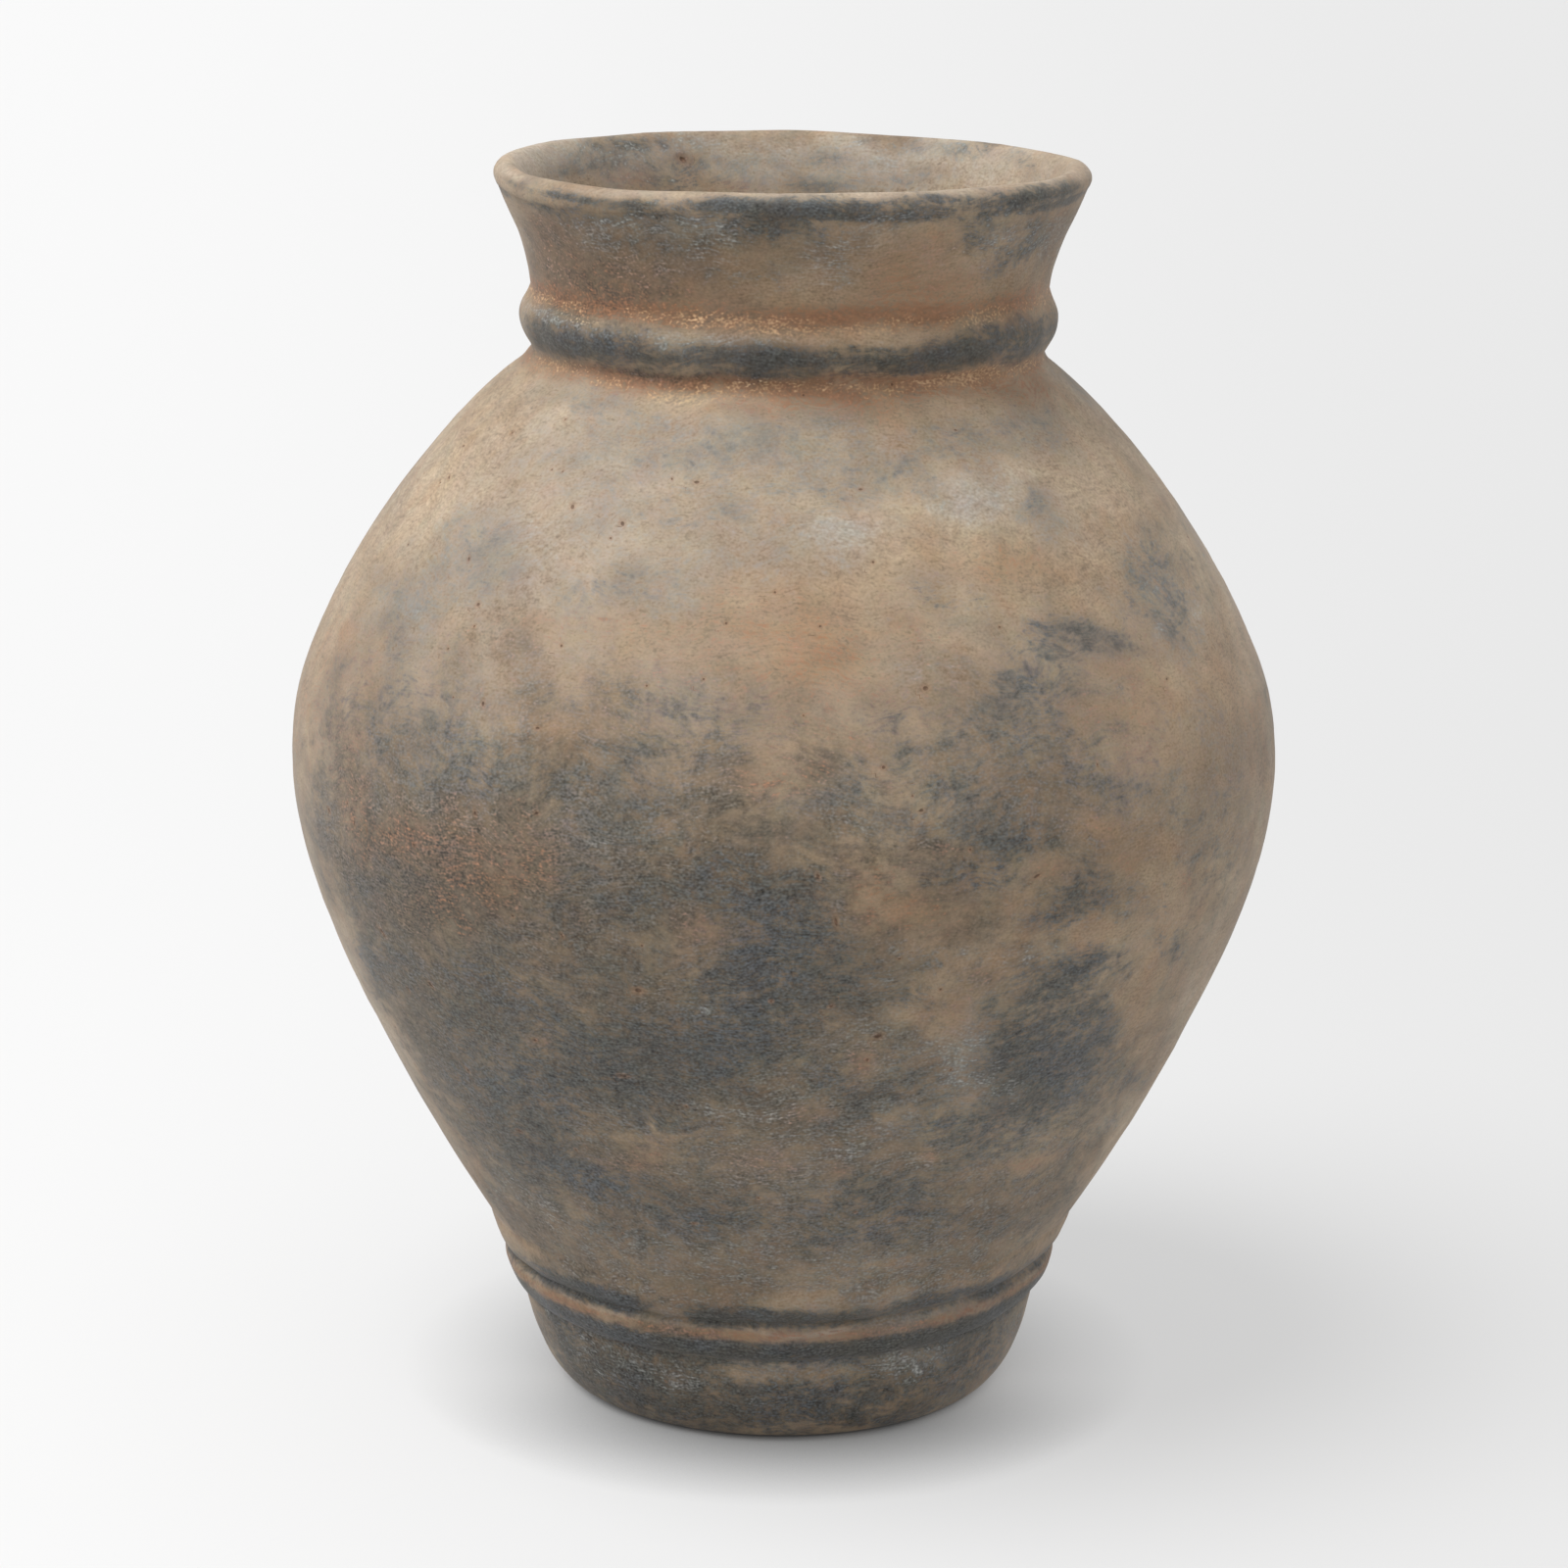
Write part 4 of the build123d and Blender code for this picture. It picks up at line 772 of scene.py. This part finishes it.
def piece(name, loop, under=False):
    """A closed mesh of one piece. The loop is its section, as runs over surfaces (group, first row, last row) and
    joints (lists of points). A disc's loop starts and ends at the axis."""
    pos, paint, pit, section = [], {c: [] for c in COATS}, [], []
    spans = []                                  # each: list of row numbers, rows of normals or None

    def add(points, values, vector, rz):
        pos.append(points)
        for c in COATS:
            paint[c].append(values[c] if values else np.full(N, INNER.get(c, 0.0)))
        pit.append(vector if vector is not None else np.full((N, 2), 9.0))
        section.append(np.array(rz, float))
        return len(pos) - 1

    for k, seg in enumerate(loop):
        first = spans[-1][0][-1] if spans else None
        closing = k == len(loop) - 1 and not under
        numbers, norms = [], None
        if isinstance(seg, tuple):
            g, i0, i1 = seg
            step = 1 if i1 >= i0 else -1
            order = list(range(i0, i1 + step, step))
            norms = [NORM[g][i] for i in order]
            for n, i in enumerate(order):
                if n == 0 and first is not None:
                    numbers.append(first)
                elif n == len(order) - 1 and closing:
                    numbers.append(0)
                else:
                    numbers.append(add(SURF[g][i], {c: PAINT[g][c][i] for c in COATS}, PAINT[g]["pit"][i], GROUPS[g][i]))
        else:
            rows = np.concatenate([run_between(a, b)[(0 if n == 0 else 1):] for n, (a, b) in enumerate(zip(seg, seg[1:]))])
            inner = relaxed(ideal(rows))
            for n in range(len(rows)):
                if n == 0 and first is not None:
                    numbers.append(first)
                elif n == len(rows) - 1 and closing:
                    numbers.append(0)
                elif n == len(rows) - 1:
                    nxt = loop[k + 1]
                    if isinstance(nxt, tuple):
                        g, i, _ = nxt
                        numbers.append(add(SURF[g][i], {c: PAINT[g][c][i] for c in COATS}, PAINT[g]["pit"][i], GROUPS[g][i]))
                    else:
                        numbers.append(add(inner[n], None, None, rows[n]))
                else:
                    numbers.append(add(inner[n], None, None, rows[n]))
        spans.append((numbers, norms))

    verts = np.concatenate(pos) / 1000.0
    coats = {c: np.concatenate(v) for c, v in paint.items()}
    pits = np.concatenate(pit)
    col = np.arange(N)
    nxt = (col + 1) % N
    length, quads, corner, uv_v = 0.0, [], [], []
    for numbers, norms in spans:
        for n, (a, b) in enumerate(zip(numbers, numbers[1:])):
            quad = np.stack([a * N + col, a * N + nxt, b * N + nxt, b * N + col], 1)
            quads.append(quad)
            if norms is None:
                q = verts[quad]
                flat = np.cross(q[:, 1] - q[:, 3], q[:, 2] - q[:, 0])
                flat /= np.maximum(np.linalg.norm(flat, axis=1), 1e-15)[:, None]
                corner.append(np.repeat(flat[:, None, :], 4, 1))
            else:
                corner.append(np.stack([norms[n], norms[n][nxt], norms[n + 1][nxt], norms[n + 1]], 1))
            step = max(np.linalg.norm(section[b] - section[a]), 0.05)
            uv_v.append((length, length + step))
            length += step
    quads, corner = np.concatenate(quads), np.concatenate(corner)

    # A plain unrolled map, cut into stacked strips so that it fills a square.
    girth = 2 * math.pi * max(r for r, _ in section)
    strips = int(np.clip(round(math.sqrt(girth / length)), 1, 6))
    part = N // strips
    u0 = (col % part) / part
    lane = col // part
    uvs = []
    for v0, v1 in uv_v:
        lo, hi = ((lane + 0.01 + 0.98 * v / length) / strips for v in (v0, v1))
        left, right = 0.004 + 0.992 * u0, 0.004 + 0.992 * (u0 + 1 / part)
        uvs.append(np.stack([np.stack([left, lo], 1), np.stack([right, lo], 1), np.stack([right, hi], 1), np.stack([left, hi], 1)], 1))
    uvs = np.concatenate(uvs)
    faces = [quads.reshape(-1)]
    starts = np.arange(len(quads)) * 4
    sizes = np.full(len(quads), 4)
    corner, uvs = corner.reshape(-1, 3), uvs.reshape(-1, 2)

    if under:                                   # close both ends of the loop at the axis
        for row, height, down in ((spans[0][0][0], 0.0, True), (spans[-1][0][-1], FLOOR_T, False)):
            centre = len(verts)
            verts = np.concatenate([verts, [[verts[row * N:row * N + N, 0].mean(), verts[row * N:row * N + N, 1].mean(), verts[row * N:row * N + N, 2].mean()]]])
            for c in COATS:
                coats[c] = np.append(coats[c], coats[c][row * N:row * N + N].mean())
            pits = np.concatenate([pits, [[9.0, 9.0]]])
            ring = row * N + col, row * N + nxt
            tri = np.stack([np.full(N, centre), ring[1], ring[0]] if down else [np.full(N, centre), ring[0], ring[1]], 1)
            starts = np.concatenate([starts, starts[-1] + sizes[-1] + np.arange(N) * 3])
            sizes = np.concatenate([sizes, np.full(N, 3)])
            faces.append(tri.reshape(-1))
            corner = np.concatenate([corner, np.tile([0, 0, -1.0 if down else 1.0], (N * 3, 1))])
            edge = (lane + 0.01 + 0.98 * (0 if down else 1)) / strips
            tip = edge + (-0.008 if down else 0.008) / strips
            left, right = 0.004 + 0.992 * u0, 0.004 + 0.992 * (u0 + 1 / part)
            ends = [np.stack([right, edge], 1), np.stack([left, edge], 1)]
            uvs = np.concatenate([uvs, np.stack([np.stack([(left + right) / 2, tip], 1)] + (ends if down else ends[::-1]), 1).reshape(-1, 2)])

    faces = np.concatenate(faces)
    mesh = bpy.data.meshes.new(name + "_fired")
    mesh.vertices.add(len(verts))
    mesh.vertices.foreach_set("co", verts.astype(np.float32).ravel())
    mesh.loops.add(len(faces))
    mesh.loops.foreach_set("vertex_index", faces.astype(np.int32))
    mesh.polygons.add(len(starts))
    mesh.polygons.foreach_set("loop_start", starts.astype(np.int32))
    mesh.polygons.foreach_set("loop_total", sizes.astype(np.int32))
    mesh.polygons.foreach_set("use_smooth", np.ones(len(starts), bool))
    mesh.update(calc_edges=True)
    uv = mesh.uv_layers.new(name="OFBake")
    uv.uv.foreach_set("vector", uvs.astype(np.float32).ravel())
    for c in COATS:
        mesh.attributes.new(c, "FLOAT", "POINT").data.foreach_set("value", coats[c].astype(np.float32))
    mesh.attributes.new("pit", "FLOAT_VECTOR", "POINT").data.foreach_set(
        "vector", np.concatenate([pits, np.zeros((len(pits), 1))], 1).astype(np.float32).ravel())
    mesh.normals_split_custom_set(corner.astype(np.float32))
    obj = bpy.data.objects.new(name + "_fired", mesh)
    bpy.context.scene.collection.objects.link(obj)
    mesh.materials.append(CLAY)
    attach(obj, "root")
    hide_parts(name)
    return obj


# ------------------------------------------------------------------ fired clay, its washes and rubbed places, and painted shade and highlights
class Nodes:
    """Short ways to add and join shader nodes."""

    def __init__(self, tree):
        self.tree = tree

    def put(self, kind, **settings):
        node = self.tree.nodes.new(kind)
        for key, value in settings.items():
            setattr(node, key, value)
        return node

    def join(self, value, socket):
        if isinstance(value, bpy.types.NodeSocket):
            self.tree.links.new(value, socket)
        else:
            socket.default_value = value

    def math(self, op, a, b=None, c=None, clamp=False):
        node = self.put("ShaderNodeMath", operation=op, use_clamp=clamp)
        for value, socket in zip((a, b, c), node.inputs):
            if value is not None:
                self.join(value, socket)
        return node.outputs[0]

    def vector(self, op, a, b=None, scale=None):
        node = self.put("ShaderNodeVectorMath", operation=op)
        self.join(a, node.inputs[0])
        if b is not None:
            self.join(b, node.inputs[1])
        if scale is not None:
            self.join(scale, node.inputs["Scale"])
        return node.outputs["Value"] if op in ("LENGTH", "DOT_PRODUCT") else node.outputs["Vector"]

    def noise(self, at, scale, detail=2.0, rough=0.5, colour=False):
        node = self.put("ShaderNodeTexNoise", noise_dimensions="3D")
        self.join(at, node.inputs["Vector"])
        node.inputs["Scale"].default_value = scale
        node.inputs["Detail"].default_value = detail
        node.inputs["Roughness"].default_value = rough
        return node.outputs["Color" if colour else "Fac"]

    def attribute(self, name, vector=False):
        node = self.put("ShaderNodeAttribute", attribute_type="GEOMETRY", attribute_name=name)
        return node.outputs["Vector" if vector else "Fac"]

    def step(self, x, lo, hi, top=1.0, bottom=0.0):
        node = self.put("ShaderNodeMapRange", interpolation_type="SMOOTHSTEP")
        for value, socket in zip((x, lo, hi, bottom, top), (node.inputs[i] for i in range(5))):
            self.join(value, socket)
        return node.outputs[0]

    def mix(self, amount, a, b, blend="MIX"):
        node = self.put("ShaderNodeMix", data_type="RGBA", blend_type=blend)
        self.join(amount, node.inputs[0])
        for value, socket in ((a, node.inputs[6]), (b, node.inputs[7])):
            self.join((*value, 1.0) if isinstance(value, tuple) else value, socket)
        return node.outputs[2]

    def total(self, *terms):
        """Sum of (value, weight) pairs and plain numbers."""
        out = None
        for term in terms:
            if isinstance(term, tuple):
                value, weight = term
                out = self.math("MULTIPLY", value, weight) if out is None else self.math("MULTIPLY_ADD", value, weight, out)
            else:
                out = self.math("ADD", out, term)
        return out


def clay():
    mat = bpy.data.materials.new("terracotta_washed")
    mat.use_nodes = True
    mat.node_tree.nodes.clear()
    k = Nodes(mat.node_tree)
    at = k.put("ShaderNodeTexCoord").outputs["Object"]
    wash_and_shade, scuff, rust, cream, tone, gap, veil_and_painted_light, umber_and_shade, haze = (k.attribute(c) for c in COATS)
    pit = k.vector("LENGTH", k.attribute("pit", True))

    # Places are bent a little, so that nothing runs in straight rings.
    bend = k.vector("SUBTRACT", k.noise(at, 26.0, 2.0, 0.5, True), (0.5, 0.5, 0.5))
    bent = k.vector("ADD", at, k.vector("SCALE", bend, scale=0.022))
    cloud = k.noise(at, 34.0, 4.0, 0.6)                      # patches of 2 to 4 cm
    blot = k.noise(k.vector("MULTIPLY", bent, (1, 1, 1.5)), 75.0, 6.0, 0.66)          # blotches of 1 cm and less
    mottle = k.noise(k.vector("MULTIPLY", bent, (1, 1, 1.3)), 165.0, 4.0, 0.64)
    grain = k.noise(at, 430.0, 3.0, 0.62)                    # sandy grain
    sand = k.noise(k.vector("MULTIPLY", at, (0.85, 0.85, 1.1)), 1000.0, 0.0)          # single grains
    streak = k.noise(k.vector("MULTIPLY", bent, (0.16, 0.16, 1.0)), 640.0, 3.0, 0.6)   # strokes around the jar
    brush = k.noise(k.vector("MULTIPLY", bent, (0.24, 0.24, 1.0)), 1150.0, 0.0)          # and hairs of the brush
    tint = k.noise(bent, 60.0, 4.0, 0.6)

    def cover(coat, most, *uneven):
        """How much of the ground a patchy coat hides: the thicker it was laid, the fewer its gaps."""
        odds = k.math("ADD", coat, k.total(*uneven, -0.5 * sum(w for _, w in uneven)))
        return k.math("DIVIDE", most, k.math("ADD", 1.0, k.math("POWER", math.e, k.math("MULTIPLY", odds, -1.0))))

    # Ground: buff clay between a brown and a light tan, warmer where the wash left it bare.
    level = k.total((tone, 0.8), (cloud, 0.8), (grain, 0.5), (mottle, 0.8), -0.93)
    ground = k.mix(k.math("MULTIPLY", level, 1.0, clamp=True), (0.200, 0.139, 0.088), (0.385, 0.293, 0.196))
    ground = k.mix(k.step(tint, 0.5, 0.72, 0.45), ground, (0.325, 0.200, 0.110))
    ground = k.mix(k.step(tint, 0.48, 0.28, 0.40), ground, (0.245, 0.215, 0.160))
    ground = k.mix(cover(gap, 0.55, (mottle, 5), (grain, 4)), ground, (0.345, 0.220, 0.122))
    # A pale film: whitish wash, and painted sheen and highlights.
    ground = k.mix(cover(veil_and_painted_light, 0.55, (mottle, 4), (grain, 4)), ground, (0.430, 0.368, 0.300))
    # A brown film: brown stain, and on the lower half partly painted shade.
    brown_and_shade = k.mix(k.step(tint, 0.35, 0.65), (0.076, 0.068, 0.054), (0.092, 0.072, 0.050))
    umber_and_shade_on = cover(umber_and_shade, 0.97, (blot, 6.5), (mottle, 6.5), (grain, 5), (streak, 4.5), (sand, 3.5), (brush, 4))
    ground = k.mix(umber_and_shade_on, ground, brown_and_shade)
    ground = k.mix(cover(haze, 0.72, (tint, 4), (blot, 5), (mottle, 5.5), (grain, 5), (streak, 4), (sand, 3.5), (brush, 4)), ground, (0.184, 0.180, 0.166))
    rust_on = cover(rust, 0.85, (mottle, 4), (grain, 4.5), (sand, 5), (brush, 6))
    ground = k.mix(rust_on, ground, (0.225, 0.103, 0.050))

    # The dark wash, partly painted shade under the lip and under the foot bands.
    wash_and_shade_on = cover(wash_and_shade, 0.96, (blot, 5), (mottle, 5.5), (grain, 5), (streak, 5), (sand, 3.5), (brush, 4.5))
    ink = k.mix(k.step(cloud, 0.40, 0.64), (0.050, 0.049, 0.043), (0.049, 0.054, 0.058))
    colour = k.mix(wash_and_shade_on, ground, ink)

    # Rubbed places: a thin pale film, and grains of the clay that caught the rag.
    colour = k.mix(cover(scuff, 0.42, (mottle, 6), (grain, 6), (streak, 4), (sand, 2), (brush, 4)), colour, (0.31, 0.308, 0.285))
    colour = k.mix(cover(cream, 0.6, (grain, 5), (sand, 10), (brush, 5)), colour, (0.46, 0.32, 0.18))
    colour = k.mix(k.step(pit, 3.6, 1.6, 0.32), colour, (0.240, 0.128, 0.068))
    colour = k.mix(k.step(pit, 1.35, 0.75, 0.75), colour, (0.085, 0.042, 0.022))
    hue = k.noise(bent, 95.0, 5.0, 0.7, True)                # warmer and cooler by turns
    colour = k.vector("MULTIPLY", colour, k.vector("ADD", k.vector("SCALE", hue, scale=0.14), (0.93, 0.93, 0.93)))
    fine = k.math("MULTIPLY", k.total((sand, 1.0), (brush, 0.7), -0.85), k.total((umber_and_shade_on, 1.2), (wash_and_shade_on, 0.9), 0.58))
    colour = k.vector("SCALE", colour, scale=k.total((fine, 1.0), (grain, 0.3), (streak, 0.5), 0.6))

    rough = k.total((grain, 0.25), (wash_and_shade_on, -0.10), 0.60)
    lift = k.total((grain, 0.5), (streak, 0.35), (mottle, 0.6), (k.step(pit, 1.25, 0.3), -1.5))
    bump = k.put("ShaderNodeBump")
    bump.inputs["Strength"].default_value = 0.3
    bump.inputs["Distance"].default_value = 0.0005
    k.join(lift, bump.inputs["Height"])

    shader = k.put("ShaderNodeBsdfPrincipled")
    k.join(colour, shader.inputs["Base Color"])
    k.join(rough, shader.inputs["Roughness"])
    shader.inputs["Specular IOR Level"].default_value = 0.35
    shader.inputs["Sheen Weight"].default_value = 0.10
    shader.inputs["Sheen Roughness"].default_value = 0.45
    k.join(bump.outputs[0], shader.inputs["Normal"])
    out = k.put("ShaderNodeOutputMaterial")
    k.join(shader.outputs[0], out.inputs["Surface"])
    return mat


CLAY = clay()

# ------------------------------------------------------------------ the pieces, from the floor up
last = {g: len(rows) - 1 for g, rows in GROUPS.items()}
inner = [o_in + i for i in at_knot]             # rows of the inside at: lip, neck joint, -, shoulder, belly, low, foot, floor
i_foot = n_under + i_ledge
ledge = GROUPS["foot"][i_foot]
low, belly, shoulder = i_wall

PIECES = [
    piece("base_disc", [("foot", 0, i_foot), [ledge, (SPIGOT_R, LEDGE_Z), (SPIGOT_R, FLOOR_T)], ("floor", 0, last["floor"])], under=True),
    piece("foot_ring", [("foot", i_foot, last["foot"]), [FOOT_OUT[-1], channel_low, *foot_joint],
                        ("lip", inner[6], inner[7]), [(SPIGOT_R, FLOOR_T), (SPIGOT_R, LEDGE_Z), ledge]]),
    piece("lower_foot_cordon", [("lowc", 0, last["lowc"]), [LOWER_CORDON[-1], channel_mid, channel_low, LOWER_CORDON[0]]]),
    piece("upper_foot_cordon", [("wall", 0, o_body), [UPPER_CORDON[-1], channel_high, channel_mid, UPPER_CORDON[0]]]),
    piece("lower_wall_ring", [("wall", o_body, low), low_joint, ("lip", inner[5], inner[6]),
                              [*foot_joint[::-1], channel_high, UPPER_CORDON[-1]]]),
    piece("belly_ring", [("wall", low, belly), belly_joint, ("lip", inner[4], inner[5]), low_joint[::-1]]),
    piece("shoulder_ring", [("wall", belly, shoulder), shoulder_joint, ("lip", inner[3], inner[4]), belly_joint[::-1]]),
    piece("upper_shoulder_ring", [("wall", shoulder, o_ncord), [BODY_OUT[-1], (neck_channel, BODY_OUT[-1][1]), *neck_joint],
                                  ("lip", inner[1], inner[3]), shoulder_joint[::-1]]),
    piece("neck_cordon", [("wall", o_ncord, o_neck), [NECK_CORDON[-1], (neck_channel, NECK_CORDON[-1][1]),
                                                     (neck_channel, NECK_CORDON[0][1]), NECK_CORDON[0]]]),
    piece("neck_collar", [("wall", o_neck, last["wall"]), lip_joint, ("lip", o_in, inner[1]),
                          [*neck_joint[::-1], (neck_channel, NECK_OUT[0][1]), NECK_OUT[0]]]),
    piece("rim_lip", [("lip", 0, o_in), lip_joint[::-1]]),
]

# ------------------------------------------------------------------ floor, light and camera
scene = bpy.context.scene
floor_mesh = bpy.data.meshes.new("studio_floor")
floor_mesh.from_pydata([(-20, -20, 0), (20, -20, 0), (20, 20, 0), (-20, 20, 0)], [], [(0, 1, 2, 3)])
floor = bpy.data.objects.new("studio_floor", floor_mesh)
scene.collection.objects.link(floor)
paper = bpy.data.materials.new("studio_paper")
paper.use_nodes = True
k = Nodes(paper.node_tree)
shader = paper.node_tree.nodes["Principled BSDF"]
spot = k.put("ShaderNodeSeparateXYZ")
k.join(k.put("ShaderNodeTexCoord").outputs["Object"], spot.inputs[0])
ahead = k.math("ADD", spot.outputs["Y"], 1.75)
aside = k.math("DIVIDE", spot.outputs["X"], k.math("SQRT", k.math("MULTIPLY_ADD", ahead, ahead, 2.25)))
# The floor glows as painted light, lighter on the left and a little towards the front.
painted_light_across_floor = k.step(aside, -0.20, 0.20)
k.join(k.mix(painted_light_across_floor, (0.256, 0.256, 0.256), (0.217, 0.217, 0.217)), shader.inputs["Base Color"])
k.join(k.mix(painted_light_across_floor, (0.540, 0.540, 0.540), (0.460, 0.460, 0.460)), shader.inputs["Emission Color"])
# A painted contact shadow: near the jar the glow fades by ambient occlusion raised to a power that is largest in front.
corner = k.put("ShaderNodeAmbientOcclusion", samples=8)
corner.inputs["Distance"].default_value = 0.06
shade = k.math("POWER", corner.outputs["AO"], k.step(spot.outputs["Y"], -0.11, -0.02, 0.5, 1.6))
k.join(k.math("MULTIPLY", shade, k.step(spot.outputs["Y"], -0.5, 1.2, 0.965, 1.05)), shader.inputs["Emission Strength"])
shader.inputs["Roughness"].default_value = 0.9
shader.inputs["Specular IOR Level"].default_value = 0.2
floor_mesh.materials.append(paper)

world = bpy.data.worlds.new("studio")
scene.world = world
world.use_nodes = True
k = Nodes(world.node_tree)
sky = world.node_tree.nodes["Background"]
sky.inputs["Color"].default_value = (1.0, 1.0, 1.0, 1.0)
rise = k.put("ShaderNodeSeparateXYZ")
k.join(k.put("ShaderNodeTexCoord").outputs["Generated"], rise.inputs[0])
k.join(k.step(rise.outputs["Z"], 0.0, 1.0, 0.86, 0.62), sky.inputs["Strength"])

sun = bpy.data.lights.new("key", "SUN")
sun.energy, sun.angle = 2.85, math.radians(38)
key = bpy.data.objects.new("key", sun)
key.rotation_euler = (-Vector((-0.38, -0.17, 0.909))).to_track_quat("-Z", "Y").to_euler()
scene.collection.objects.link(key)

lens = bpy.data.cameras.new("camera")
lens.sensor_width, lens.lens = 36.0, 36.0 * FOCAL / 1600
camera = bpy.data.objects.new("camera", lens)
camera.matrix_world = (Matrix.Translation((0, EYE_Y / 1000, EYE_Z / 1000)) @ Matrix.Rotation(math.radians(90) - PITCH, 4, "X")
                       @ Matrix.Rotation(ROLL, 4, "Z"))
scene.collection.objects.link(camera)
scene.camera = camera
scene.view_settings.view_transform = "Standard"

bpy.context.view_layer.update()
